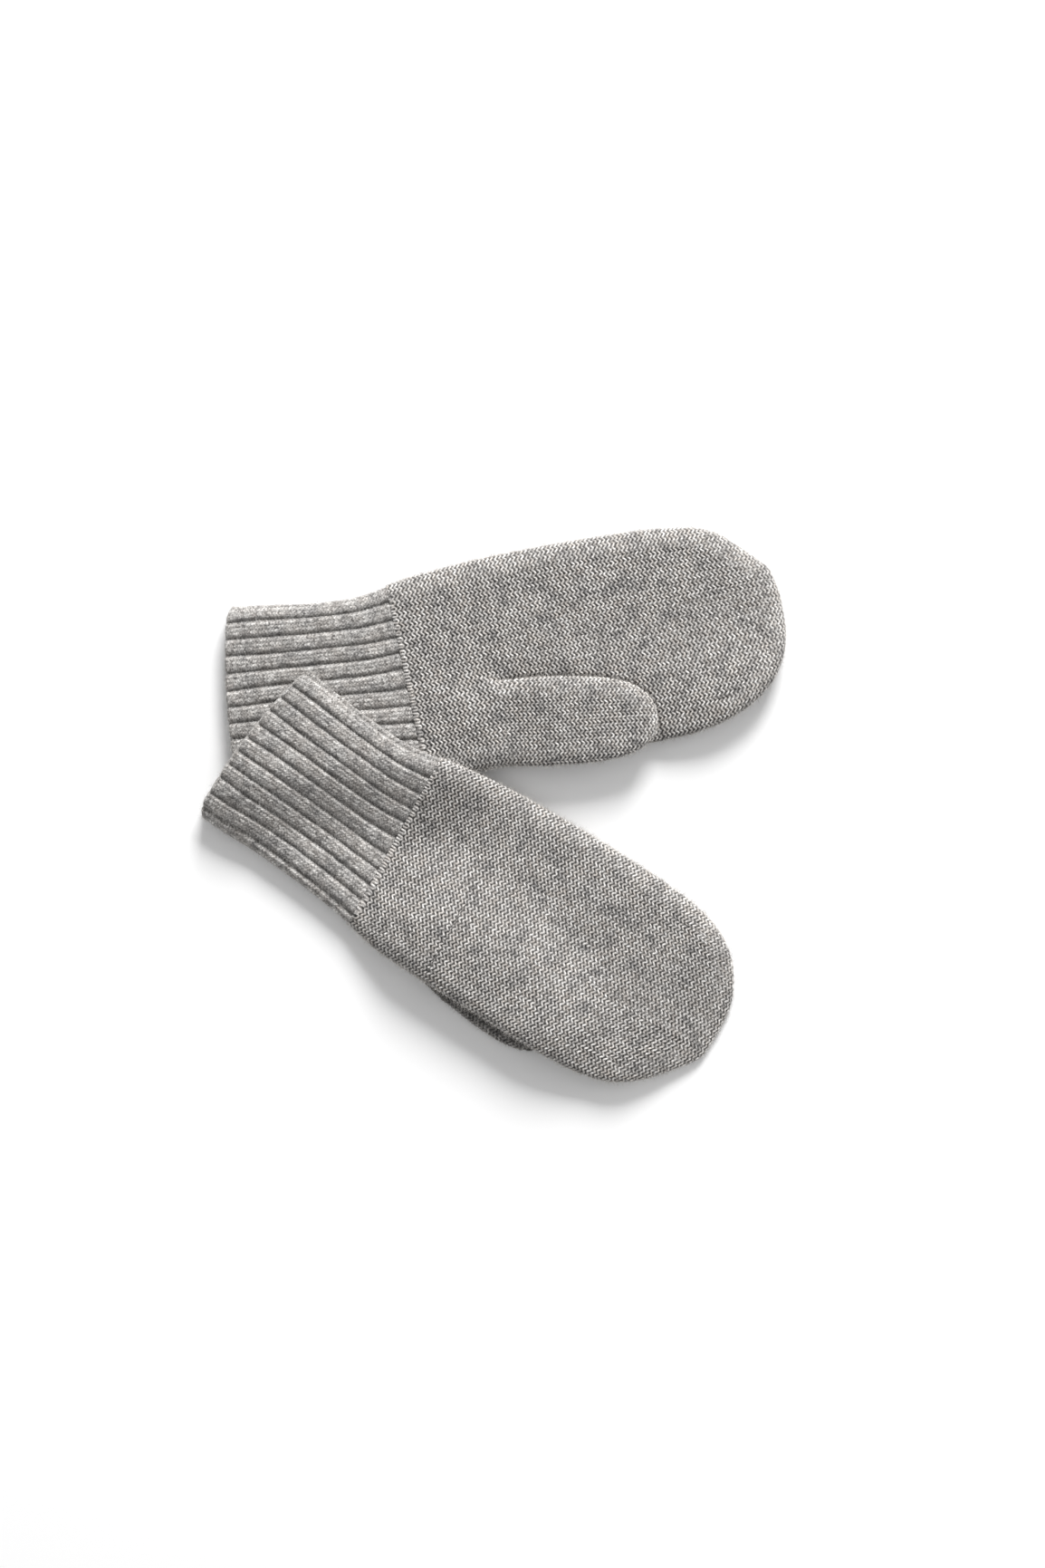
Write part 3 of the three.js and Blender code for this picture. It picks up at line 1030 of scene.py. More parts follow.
class PouchPlan:
    """Plan of one side of a pouch: rows inside its rounded edge band, and the band's points."""

    def __init__(self, curve: PlanCurve, row_shares: np.ndarray, columns: int, band: float) -> None:
        """Lay out the pouch.

        Args:
            curve: outline from one end of the mouth round the tip to the other.
            row_shares: places of the rows along the sides, from 0 at the mouth to 1.
            columns: number of cells across.
            band: how far the rounded edge reaches in.
        """
        rows = len(row_shares)
        tip = SIDE_SHARE + (1 - 2 * SIDE_SHARE) * np.arange(1, columns) / columns
        shares = np.concatenate([SIDE_SHARE * row_shares, tip, 1 - SIDE_SHARE * row_shares[::-1]])
        self.edge = curve.at(shares)
        self.inward = curve.inward(shares)
        climb = np.arange(rows)
        self.spot_rows = np.concatenate([climb, np.full(columns - 1, rows - 1), climb[::-1]])
        side = np.zeros(rows, int)
        self.spot_columns = np.concatenate([side, np.arange(1, columns), side + columns])
        inset = self.edge + self.inward * band
        across = np.linspace(0.0, 1.0, columns + 1)[None, :, None]
        upper = inset[:rows][:, None]
        lower = inset[::-1][:rows][:, None]
        tip_line = inset[rows - 1 : rows + columns]
        bulge = tip_line - (tip_line[0] * (1 - across[0]) + tip_line[-1] * across[0])
        self.grid = upper * (1 - across) + lower * across + bulge[None] * row_shares[:, None, None] ** 3


class KnitPouch:
    """Builds the two faces of a laid pouch of knit, side by side."""

    def __init__(self, curve: PlanCurve, rows: np.ndarray, columns: int, band_steps: int) -> None:
        """Lay out the cells.

        Args:
            curve: outline from one end of the mouth round the tip to the other.
            rows: places of the coarse rows along the sides, from 0 at the mouth to 1.
            columns: number of coarse cells across.
            band_steps: number of coarse cells over the rounded edge.
        """
        self.curve = curve
        self.rows = rows
        self.columns = columns
        self.band_steps = band_steps
        self.shared_rims: dict[bool, np.ndarray] = {}

    def fine_rows(self, fineness: int) -> np.ndarray:
        """Row shares with each coarse row split into fine ones."""
        places = np.linspace(0, len(self.rows) - 1, (len(self.rows) - 1) * fineness + 1)
        return np.interp(places, np.arange(len(self.rows)), self.rows)

    def add_side(
        self,
        sheet: Sheet,
        form: PouchForm,
        fineness: int,
        knit: KnitRule | None,
        mouth: MouthRule | None = None,
    ) -> None:
        """Add one side of the pouch to a sheet.

        Args:
            sheet: the outer face when a knit is given, and else the inner face.
            form: heights of this side.
            fineness: fine cells to each coarse one.
            knit: the stitches at knit coordinates.
            mouth: which coarse cells of the grid and of the band are left open.
        """
        is_outer = knit is not None
        rows = self.fine_rows(fineness)
        plan = PouchPlan(self.curve, rows, self.columns * fineness, form.band)
        spots = (plan.spot_rows, plan.spot_columns)
        raised = form.raised(plan.grid.reshape(-1, 2)) * (is_outer or not form.squeezed)
        height = form.half_height + raised.reshape(plan.grid.shape[:2])
        depth = 0.0 if is_outer else form.wall
        grid_z = form.middle(plan.grid) + form.face.value * (height - depth)
        angle = np.linspace(math.pi / 2, 0.0, self.band_steps * fineness + 1)[:, None]
        ring_points = self.edge_band(plan, form, depth, angle, height[spots])
        unrolled = self.unroll(form, angle[:, 0])
        ring_knit = plan.grid[spots][None] - plan.inward[None] * unrolled[:, None, None]
        stitch = knit if is_outer else (lambda coordinates: Stitches.none(coordinates.shape[:-1]))
        grid_ids = sheet.add_points(np.dstack([plan.grid, grid_z]), stitch(plan.grid))
        boundary = grid_ids[spots]
        if is_outer in self.shared_rims:
            band_ids = sheet.add_points(ring_points[1:-1], stitch(ring_knit[1:-1]))
            ring_ids = np.vstack([boundary[None], band_ids, self.shared_rims[is_outer][None]])
        else:
            band_ids = sheet.add_points(ring_points[1:], stitch(ring_knit[1:]))
            ring_ids = np.vstack([boundary[None], band_ids])
            self.shared_rims[is_outer] = ring_ids[-1]
        grid_gaps, ring_gaps = self.gaps(mouth, fineness, plan)
        below = form.face is Face.LOWER
        sheet.patches.append(Patch(grid_ids, plan.grid, below, grid_gaps))
        sheet.patches.append(Patch(ring_ids, ring_knit, below, ring_gaps))

    @staticmethod
    def edge_band(
        plan: PouchPlan, form: PouchForm, depth: float, angle: np.ndarray, top: np.ndarray
    ) -> Points:
        """Points of the rounded edge, from the flat middle down to the rim.

        Args:
            plan: plan of the side.
            form: heights of the side.
            depth: how far the face lies within the outer one.
            angle: angles round the edge, as a column.
            top: height of the outer face over the middle plane, at each place of the edge.

        Returns:
            The points, in one row for each angle.
        """
        rim = np.full(len(plan.edge), form.gap)
        if form.rim is not None:
            rim = form.rim(plan.edge) * form.face.value
        inset = depth + (form.band - depth) * (1 - np.cos(angle))
        band_plan = plan.edge[None] + plan.inward[None] * inset[..., None]
        # Towards the thumb's side the edge keeps its height longer, and then falls steeply
        full = np.ones(len(plan.edge))
        if form.fullness is not None:
            full = full - form.fullness(plan.edge) * smoothstep(plan.inward[:, 1], *FULL_SIDE)
        height = rim + np.maximum(top - depth - rim, LEAST_EDGE) * np.sin(angle) ** full
        return np.dstack([band_plan, form.middle(band_plan) + form.face.value * height])

    def gaps(self, mouth: MouthRule | None, fineness: int, plan: PouchPlan) -> OpenCells:
        """Open cells of the grid and of the band, spread from coarse cells to fine ones.

        Args:
            mouth: which coarse cells are left open.
            fineness: fine cells to each coarse one.
            plan: plan of the side.

        Returns:
            For each fine cell of the grid and of the band, whether it is open.
        """
        coarse_rows = len(self.rows) - 1
        spots = 2 * coarse_rows + self.columns
        grid = np.zeros((coarse_rows, self.columns), bool)
        ring = np.zeros((self.band_steps, spots), bool)
        if mouth is not None:
            grid, ring = mouth(plan.grid[::fineness, ::fineness])
        cell = np.ones((fineness, fineness), bool)
        return np.kron(grid, cell) > 0, np.kron(ring, cell) > 0

    @staticmethod
    def unroll(form: PouchForm, angles: np.ndarray) -> np.ndarray:
        """Length of cloth from the flat middle down the rounded edge to each angle.

        Args:
            form: heights of the side.
            angles: angles from a right angle at the flat middle to 0 at the rim.

        Returns:
            One length for each angle, in millimetres.
        """
        fine = np.linspace(math.pi / 2, 0.0, BAND_SAMPLES)
        speed = np.hypot(form.band * np.sin(fine), (form.half_height - form.gap) * np.cos(fine))
        travel = np.concatenate([[0.0], np.cumsum((speed[1:] + speed[:-1]) / 2 * -np.diff(fine))])
        return np.interp(-angles, -fine, travel)


@dataclass
class Mitten:
    """One mitten: cuff, palm, back and thumb, each a wall of knit over its CAD solid."""

    place: Placement
    hand_knit: bpy.types.Material
    rib_knit: bpy.types.Material
    rib: RibKnit
    purl: PurlKnit = field(default_factory=PurlKnit)
    gusset_rows: int = 12
    finger_rows: int = 33
    hand_columns: int = 22
    band_steps: int = 3
    thumb_rows: int = 15
    thumb_columns: int = 8
    cuff_rows: int = 28
    cuff_turns_under: int = 7
    cuff_turns_over: int = 28
    thumb_turn: float = -8.0

    def __post_init__(self) -> None:
        """Settle what the mitten lies on."""
        self.bed = Bed(self.place)
        self.pieces: list[Piece] = []

    def build(self) -> None:
        """Build and dress the four pieces."""
        self.cuff()
        self.hand_panel(is_palm=True)
        self.hand_panel(is_palm=False)
        self.thumb()

    def finish(self, made: Piece, node: str, material: bpy.types.Material) -> bpy.types.Object:
        """Give a piece its material and its body, and hide the solid it stands for.

        Args:
            made: the built piece.
            node: node of the solid.
            material: the material.

        Returns:
            The object of the piece.
        """
        thing = made.thing
        thing.data.materials.append(material)
        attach(thing, "root")
        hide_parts(node)
        self.pieces.append(made)
        LOG.info("%s: %d triangles for %s", thing.name, triangles(thing.data), node)
        return thing

    def hand_rows(self) -> np.ndarray:
        """Coarse rows of the hand: up to the thumb's mouth, the mouth, and on to the tip.

        Returns:
            Places of the rows along the sides, from 0 at the cuff to 1.
        """
        side = self.place.hand_curve().length * SIDE_SHARE
        mouth = THUMB_BASE / side
        beyond = mouth + THUMB_MOUTH / side
        gusset = np.linspace(0.0, mouth, self.gusset_rows + 1)
        fingers = np.linspace(beyond, 1.0, self.finger_rows + 1)
        return np.concatenate([gusset, fingers])

    def mouth_cells(self, grid: Points) -> OpenCells:
        """Coarse cells left open at the mouth of the thumb.

        Args:
            grid: coarse points of the palm, in rows and columns.

        Returns:
            For each cell of the grid and of the edge band, whether it is open.
        """
        rows = grid.shape[0] - 1
        columns = grid.shape[1] - 1
        open_grid = np.zeros((rows, columns), bool)
        open_grid[self.gusset_rows] = grid[self.gusset_rows, :-1, 1] < CROTCH_ACROSS
        open_ring = np.zeros((self.band_steps, 2 * rows + columns), bool)
        open_ring[:-1, rows + columns + (rows - 1 - self.gusset_rows)] = True
        return open_grid, open_ring

    def hand_panel(self, is_palm: bool) -> None:
        """Build the palm or the back of the hand.

        Args:
            is_palm: whether it is the palm, with the mouth of the thumb.
        """
        palm = self.place.palm_face
        face = palm if is_palm else Face(-palm.value)
        shown = face is Face.UPPER
        fineness = (Fineness.SHOWN if shown else Fineness.HIDDEN).value
        curve = self.place.hand_curve()
        pouch = KnitPouch(curve, self.hand_rows(), self.hand_columns, self.band_steps)
        half = CLOTH.hand_height / 2
        form = PouchForm(
            face=face,
            wall=CLOTH.hand_wall,
            half_height=half,
            band=CLOTH.upper_edge if shown else CLOTH.lower_edge,
            gap=CLOTH.sewn_gap,
            middle=lambda plan: half + self.bed.height(plan),
            raised=lambda plan: self.panel_rise(plan, is_palm, shown),
            fullness=self.edge_fullness if shown else None,
        )
        outer = Sheet()
        inner = Sheet()
        mouth = self.mouth_cells if is_palm else None
        pouch.add_side(outer, form, fineness, self.hand_stitches, mouth)
        pouch.add_side(inner, form, 1, None, mouth)
        if self.place is LEFT:
            outer.press(self.pressed_tip)
            inner.press(self.pressed_tip)
        part, other = ("palm", "back") if is_palm else ("back", "palm")
        node = f"{self.place.name}_{part}"
        made = wall_object(f"{node}_knit", outer, inner, self.place)
        thing = self.finish(made, node, self.hand_knit)

    def edge_fullness(self, edge: Points) -> np.ndarray:
        """How full the shown edge of the hand is: beside the left cuff it is slacker."""
        by_cuff = FULL_BY_CUFF[self.place.palm_face]
        return EDGE_FULLNESS * (by_cuff + (1 - by_cuff) * smoothstep(edge[:, 0], *FULL_FROM))

    @staticmethod
    def thumb_fullness(edge: Points) -> np.ndarray:
        """How full the upper edge of a thumb is."""
        return np.full(len(edge), EDGE_FULLNESS)

    @staticmethod
    def pressed_tip(plan: Points) -> np.ndarray:
        """Share of its height that a hand keeps where its tip is pressed flat."""
        return 1 - TIP_PRESS * smoothstep(plan[:, 0], *TIP_PRESS_ALONG)

    def painted_crease_shadow(self, plan: Points) -> np.ndarray:
        """Painted shadow on the thumb under the edge of the hand: the share of its light that is kept.

        Args:
            plan: places in the plan of the mitten, one row each.

        Returns:
            The share at each place.
        """
        hand = self.place.hand_curve().at(np.linspace(0.0, 1.0, CREASE_SAMPLES))
        outside = np.maximum(-depth_inside(plan, hand), 0.0)
        return 1 - CREASE_SHADE * np.exp(-((outside / CREASE_REACH) ** 2))

    def panel_rise(self, plan: Points, is_palm: bool, shown: bool) -> np.ndarray:
        """Rise of a panel over its flat form.

        Args:
            plan: places in the plan of the mitten.
            is_palm: whether the panel is the palm, which rises to the mouth of the thumb.
            shown: whether it faces up, where it is a little uneven and dips along the thumb.

        Returns:
            The rise at each place, in millimetres.
        """
        along = plan[:, 0]
        stack = CLOTH.thumb_stack if shown else THUMB_LIFT
        rise = stack * gusset_share(plan) * is_palm
        if not shown:
            return rise
        lowered = thumb_sink(plan) + THUMB_SQUEEZE * near_thumb_base(plan)
        rise = rise * (1 - lowered / CLOTH.thumb_stack)
        cells = plan / UNEVEN_REACH + UNEVEN_PLACE
        noise = SmoothNoise(UNEVEN_SEED).at(cells[:, 0], cells[:, 1])
        outside = np.full(len(plan), np.inf)
        if is_palm:
            outside = -depth_inside(plan, self.bed.thumb)
            under = smoothstep(-outside, 0.0, THUMB_DIP_INSIDE)
            under = under * (along > THUMB_BASE + THUMB_MOUTH / 2)
            beside = np.exp(-((np.maximum(outside, 0.0) / THUMB_DIP_REACH) ** 2))
            beside = beside * smoothstep(along, *THUMB_DIP_ALONG)
            rise = rise - THUMB_DIP * np.maximum(under, beside)
        else:
            rise = rise + sum(puff.height(plan) for puff in LEFT_PUFFS)
        free = smoothstep(along, *UNEVEN_ALONG) * smoothstep(outside, 0.0, UNEVEN_BY_THUMB)
        return rise + UNEVEN_RISE * noise * free

    def turned_knit(self, knit: Points, share: np.ndarray) -> Points:
        """Knit coordinates turned about the thumb's base.

        Args:
            knit: the coordinates, in the last axis.
            share: share of the thumb's turn at each place.

        Returns:
            The turned coordinates.
        """
        middle = (CROTCH_ACROSS + THUMB_OUTLINE[-1][1]) / 2
        sine = math.sin(math.radians(self.thumb_turn)) * share
        along = knit[..., 0] + sine * (knit[..., 1] - middle)
        across = knit[..., 1] - sine * (knit[..., 0] - THUMB_BASE)
        return np.stack([along, across], axis=-1)

    def hand_stitches(self, knit: Points) -> Stitches:
        """Stitches of the hand, whose wales turn towards the thumb at its base.

        Args:
            knit: knit coordinates, in the last axis.

        Returns:
            The stitches at each place.
        """
        along = knit[..., 0]
        crotch = CROTCH_ACROSS + np.maximum(THUMB_BASE - along, 0.0) * GUSSET_SPREAD
        share = smoothstep(along, *KNIT_TURN_ALONG)
        share = share * smoothstep(crotch - knit[..., 1], *KNIT_TURN_ACROSS)
        share = np.where(along > THUMB_BASE + THUMB_MOUTH, 0.0, share)
        turned = self.turned_knit(knit, share)
        return self.purl.stitches(turned[..., 0], turned[..., 1])

    def thumb_stitches(self, knit: Points) -> Stitches:
        """Stitches of the thumb, which go on from those of the hand.

        Args:
            knit: knit coordinates, in the last axis.

        Returns:
            The stitches at each place.
        """
        along = knit[..., 0]
        share = smoothstep(CROTCH_ACROSS - knit[..., 1], *KNIT_TURN_ACROSS)
        share = np.maximum(share, smoothstep(along, THUMB_BASE, THUMB_BASE + KNIT_TURN_REACH))
        turned = self.turned_knit(knit, share * smoothstep(along, *KNIT_TURN_ALONG))
        return self.purl.stitches(turned[..., 0], turned[..., 1])

    def thumb_rim(self, edge: Points) -> np.ndarray:
        """Height of the thumb's edge over its middle plane: pinched down where it leaves the palm.

        Args:
            edge: places on the edge, one row each.

        Returns:
            The height at each place, in millimetres.
        """
        pinch = 1 - smoothstep(edge[:, 0], THUMB_BASE, THUMB_BASE + THUMB_PINCH_REACH)
        half_height = CLOTH.thumb_height / 2 - THUMB_SQUEEZE * near_thumb_base(edge)
        return -THUMB_PINCH * pinch * half_height

    def thumb_middle(self, plan: Points) -> np.ndarray:
        """Height of the middle plane of the thumb, which lies on the palm or on the table.

        Args:
            plan: places in the plan of the mitten, in the last axis.

        Returns:
            The height at each place, in millimetres.
        """
        if self.place.palm_face is Face.LOWER:
            return np.full(plan.shape[:-1], (CLOTH.thumb_height - THUMB_PRESSED) / 2)
        return CLOTH.hand_height + CLOTH.piece_gap + CLOTH.thumb_height / 2 - thumb_sink(plan)

    def thumb_rise(self, plan: Points) -> np.ndarray:
        """Rise of the thumb's faces: squeezed at its base, or pressed where the hand lies on it.

        Args:
            plan: places in the plan of the mitten, one row each.

        Returns:
            The rise at each place, in millimetres.
        """
        if self.place.palm_face is Face.UPPER:
            return -THUMB_SQUEEZE * near_thumb_base(plan)
        return np.full(len(plan), -THUMB_PRESSED / 2)

    def thumb(self) -> None:
        """Build the thumb: a flat pouch, closed at its tip and open to the palm."""
        on_palm = self.place.palm_face is Face.UPPER
        fineness = (Fineness.SHOWN if on_palm else Fineness.GLIMPSED).value
        rows = np.linspace(0.0, 1.0, self.thumb_rows + 1)
        curve = self.place.sewn_thumb_curve()
        pouch = KnitPouch(curve, rows, self.thumb_columns, self.band_steps)
        outer = Sheet()
        inner = Sheet()
        for face in Face:
            form = PouchForm(
                face=face,
                wall=CLOTH.thumb_wall,
                half_height=CLOTH.thumb_height / 2,
                band=CLOTH.thumb_edge if face is Face.UPPER else CLOTH.lower_edge,
                gap=0.0,
                middle=self.thumb_middle,
                raised=self.thumb_rise,
                squeezed=True,
                rim=self.thumb_rim if on_palm else None,
                fullness=self.thumb_fullness if face is Face.UPPER else None,
            )
            pouch.add_side(outer, form, fineness, self.thumb_stitches)
            pouch.add_side(inner, form, 1, None)
        # Painted shadow: the thumb is darkened along the edge of the hand that overhangs it
        if not on_palm:
            outer.shade(self.painted_crease_shadow)
        node = f"{self.place.name}_thumb"
        made = wall_object(f"{node}_knit", outer, inner, self.place)
        thing = self.finish(made, node, self.hand_knit)

    def cuff(self) -> None:
        """Build the ribbed cuff, a flattened tube with a rounded hem."""
        outer = Sheet()
        inner = Sheet()
        self.add_tube(outer, Fineness.SHOWN.value, True)
        self.add_tube(inner, 1, False)
        node = f"{self.place.name}_cuff"
        made = wall_object(f"{node}_knit", outer, inner, self.place)
        thing = self.finish(made, node, self.rib_knit)

    def cuff_turns(self, fineness: int) -> np.ndarray:
        """Places round the cuff, closer on its upper side than on the underside.

        Args:
            fineness: fine cells to each coarse one.

        Returns:
            Shares of the way round, from 0 in the middle of the underside to 1.
        """
        under = np.linspace(0.0, 0.25, self.cuff_turns_under + 1)
        over = np.linspace(0.25, 0.75, self.cuff_turns_over + 1)
        coarse = np.concatenate([under, over[1:], 1 - under[::-1][1:]])
        places = np.linspace(0, len(coarse) - 1, (len(coarse) - 1) * fineness + 1)
        return np.interp(places, np.arange(len(coarse)), coarse)

    def add_tube(self, sheet: Sheet, fineness: int, is_outer: bool) -> None:
        """Add the outer or inner face of the cuff to a sheet.

        Args:
            sheet: the sheet.
            fineness: fine cells to each coarse one.
            is_outer: whether it is the outer face, with ribs and stitches.
        """
        shares = np.linspace(0.0, 1.0, self.cuff_rows * fineness + 1)
        turns = self.cuff_turns(fineness)
        top_line = self.side_line(CUFF_TOP, shares)
        low_line = self.side_line(CUFF_LOW, shares)
        length = (PlanCurve(CUFF_TOP).length + PlanCurve(CUFF_LOW).length) / 2
        along = (shares * length)[:, None]
        body = CLOTH.cuff_height - CLOTH.rib_rise
        span = np.linalg.norm(top_line - low_line, axis=1)[:, None]
        width = span - CLOTH.rib_rise
        if is_outer:
            ring, normal = flat_ring(width, body, CLOTH.cuff_edge, turns)
            sideways = np.abs(2 * ring[..., 0] / width)
            rise, stitches = self.ribbed_rise(along, turns, normal)
            ring = ring + normal * rise[..., None]
        else:
            wall = CLOTH.cuff_wall
            width = width - 2 * wall
            ring, _ = flat_ring(width, CLOTH.layer_air, CLOTH.cuff_edge - wall, turns)
            sideways = np.abs(2 * ring[..., 0] / width)
            stitches = Stitches.none(ring.shape[:2])
        across = (0.5 + ring[..., 0] / span)[..., None]
        plan = low_line[:, None] * (1 - across) + top_line[:, None] * across
        plan[..., 0] += self.hem_shift(shares, along, turns, sideways)
        height = body / 2 + ring[..., 1] + self.bed.height(plan)
        points = np.dstack([plan, height])
        # The last column lies on the first, so it is left out and the first one closes the ring
        kept = Stitches(stitches.height[:, :-1], stitches.light[:, :-1], stitches.tone[:, :-1])
        ids = sheet.add_points(points[:, :-1], kept)
        ids = np.column_stack([ids, ids[:, 0]])
        shape = stitches.light.shape
        knit = [np.broadcast_to(along, shape), np.broadcast_to(turns * CUFF_ROUND, shape)]
        gaps = np.zeros((len(shares) - 1, len(turns) - 1), bool)
        sheet.patches.append(Patch(ids, np.dstack(knit), True, gaps))

    def ribbed_rise(
        self, along: np.ndarray, turns: np.ndarray, normal: Points
    ) -> tuple[np.ndarray, Stitches]:
        """Rise of the ribs and stitches over the tube of the cuff, with its rounded hem.

        Args:
            along: millimetres from the hem, as a column.
            turns: shares of the way round.
            normal: normals of the tube.

        Returns:
            The rise at each place, and the stitches there without their height.
        """
        showing = smoothstep(normal[..., 1], -RIB_FADE, RIB_FADE)
        crown = self.rib.crown(along, turns[None])
        levelled = HEM_CROWN_SHARE * (1 - smoothstep(along, *HEM_CROWN_ALONG))
        crown = crown + (HEM_CROWN - crown) * levelled
        from_end = 1 - np.clip(along / HEM_ROUNDING_REACH, 0.0, 1.0)
        rounding = HEM_ROUNDING * (1 - np.sqrt(1 - from_end**2))
        stitches = self.rib.stitches(along, turns[None])
        rise = CLOTH.rib_rise * (crown - 1 + showing) - rounding + stitches.height
        return rise, Stitches(np.zeros_like(stitches.height), stitches.light, stitches.tone)

    def hem_shift(
        self, shares: np.ndarray, along: np.ndarray, turns: np.ndarray, sideways: np.ndarray
    ) -> np.ndarray:
        """How far the hem stands in from its line: at its corners, by its bow and by its ribs.

        Args:
            shares: shares of the cuff's length, from the hem.
            along: the same in millimetres, as a column.
            turns: shares of the way round.
            sideways: distances from the middle of the cuff, as shares of its half width.

        Returns:
            The shift at each place, in millimetres.
        """
        bow = HEM_BOW * (1 - shares[:, None]) ** 2 * (1 - sideways**2)
        beyond = (sideways - HEM_CORNER_START) / (1 - HEM_CORNER_START)
        corner = HEM_CORNER * np.clip(beyond, 0.0, HEM_CORNER_MOST) ** 3
        corner = corner * (1 - smoothstep(along, 0.0, HEM_CORNER_REACH))
        scallop = HEM_SCALLOP * (self.rib.crown(along, turns[None]) - 0.5)
        scallop = scallop * (1 - smoothstep(along, 0.0, HEM_SCALLOP_REACH))
        return corner - bow - scallop

    @staticmethod
    def side_line(keys: tuple[tuple[float, float], ...], shares: np.ndarray) -> Points:
        """One side of the cuff, at even steps from key point to key point.

        Args:
            keys: the key points.
            shares: shares of the steps, from 0 at the hem to 1 at the seam.

        Returns:
            The points, which bulge towards the hand at the seam.
        """
        points = PlanCurve(keys).points
        places = shares * (len(points) - 1)
        line = np.stack([np.interp(places, np.arange(len(points)), axis) for axis in points.T], axis=1)
        bulge = SEAM_BULGE * shares**SEAM_BULGE_POWER
        line[:, 0] = np.minimum(line[:, 0] + bulge, -CLOTH.sewn_gap)
        return line


def flat_ring(width: np.ndarray, height: float, edge: float, turns: np.ndarray) -> tuple[Points, Points]:
    """Points and normals round flattened tubes, from the middle of the underside.

    Args:
        width: widths of the tubes, as a column.
        height: height of the tubes.
        edge: how far the rounded edges reach in.
        turns: places round the tube, from 0 to 1.

    Returns:
        Places across and up, and normals, for each tube and each turn.
    """
    half = height / 2
    straight = width / 2 - edge
    angle = np.linspace(-math.pi / 2, math.pi / 2, RING_SAMPLES)
    speed = np.hypot(edge * np.sin(angle), half * np.cos(angle))
    travel = np.concatenate([[0.0], np.cumsum((speed[1:] + speed[:-1]) / 2 * np.diff(angle))])
    arc = travel[-1]
    reach = (turns[None] % 1.0) * (4 * straight + 2 * arc)
    mirrored = reach > 2 * straight + arc
    local = np.where(mirrored, reach - 2 * straight - arc, reach)
    is_low = local < straight
    is_arc = (local >= straight) & (local < straight + arc)
    bend = np.interp(np.clip(local - straight, 0, arc), travel, angle)
    after_low = np.where(is_arc, straight + edge * np.cos(bend), 2 * straight + arc - local)
    sideways = np.where(is_low, local, after_low)
    upward = np.where(is_low, -half, np.where(is_arc, half * np.sin(bend), half))
    normal_x = np.where(is_arc, half * np.cos(bend), 0.0)
    normal_z = np.where(is_low, -1.0, np.where(is_arc, edge * np.sin(bend), 1.0))
    flip = np.where(mirrored, -1.0, 1.0)
    points = np.dstack([sideways * flip, upward * flip])
    normals = np.dstack([normal_x * flip, normal_z * flip])
    return points, normals / np.linalg.norm(normals, axis=2)[..., None]


def linear(code: str) -> tuple[float, float, float, float]:
    """Linear colour of an sRGB hex code."""
    parts = (int(code[i : i + 2], 16) / 255 for i in (1, 3, 5))
    return (*((c / 12.92 if c <= 0.04045 else ((c + 0.055) / 1.055) ** 2.4) for c in parts), 1.0)


def new_material(name: str) -> bpy.types.Material:
    """A new material whose node tree is empty."""
    material = bpy.data.materials.new(name)
    material.use_nodes = True
    material.node_tree.nodes.clear()
    return material


def add_node(
    tree: bpy.types.NodeTree, kind: str, links: dict[str | int, object] | None = None, **settings: object
) -> bpy.types.Node:
    """Add a node with its settings and links.

    Args:
        tree: the node tree.
        kind: type name of the node.
        links: input sockets by name or number, each with a socket to link or a value to set.
        settings: properties of the node.

    Returns:
        The new node.
    """
    node = tree.nodes.new(kind)
    for name, value in settings.items():
        setattr(node, name, value)
    for name, value in (links or {}).items():
        if isinstance(value, bpy.types.NodeSocket):
            tree.links.new(value, node.inputs[name])
        else:
            node.inputs[name].default_value = value
    return node


def add_noise(
    tree: bpy.types.NodeTree, vector: bpy.types.NodeSocket, size: float, detail: float
) -> bpy.types.NodeSocket:
    """Add a noise.

    Args:
        tree: the node tree.
        vector: the coordinates.
        size: size of the noise in units of the coordinates.
        detail: how many finer octaves it has.

    Returns:
        Its value.
    """
    links = {"Vector": vector, "Scale": 1 / size, "Detail": detail}
    return add_node(tree, "ShaderNodeTexNoise", links).outputs["Fac"]


def add_ramp(
    tree: bpy.types.NodeTree, factor: bpy.types.NodeSocket, *stops: tuple[float, str]
) -> bpy.types.NodeSocket:
    """Add a colour ramp.

    Args:
        tree: the node tree.
        factor: what picks the colour.
        stops: places on the ramp in order, each with its sRGB hex code.

    Returns:
        Its colour.
    """
    node = add_node(tree, "ShaderNodeValToRGB", {"Fac": factor})
    elements = node.color_ramp.elements
    elements[0].position = stops[0][0]
    elements[0].color = linear(stops[0][1])
    elements[1].position = stops[-1][0]
    elements[1].color = linear(stops[-1][1])
    for position, code in stops[1:-1]:
        elements.new(position).color = linear(code)
    return node.outputs["Color"]


def add_mix(
    tree: bpy.types.NodeTree,
    blend: str,
    share: float,
    first: bpy.types.NodeSocket,
    second: bpy.types.NodeSocket,
) -> bpy.types.NodeSocket:
    """Mix two colours.

    Args:
        tree: the node tree.
        blend: type name of the blend.
        share: share of the blend.
        first: the colour below.
        second: the colour laid over it.

    Returns:
        The mixed colour.
    """
    links = {0: share, 6: first, 7: second}
    node = add_node(tree, "ShaderNodeMix", links, data_type="RGBA", blend_type=blend)
    return node.outputs[2]


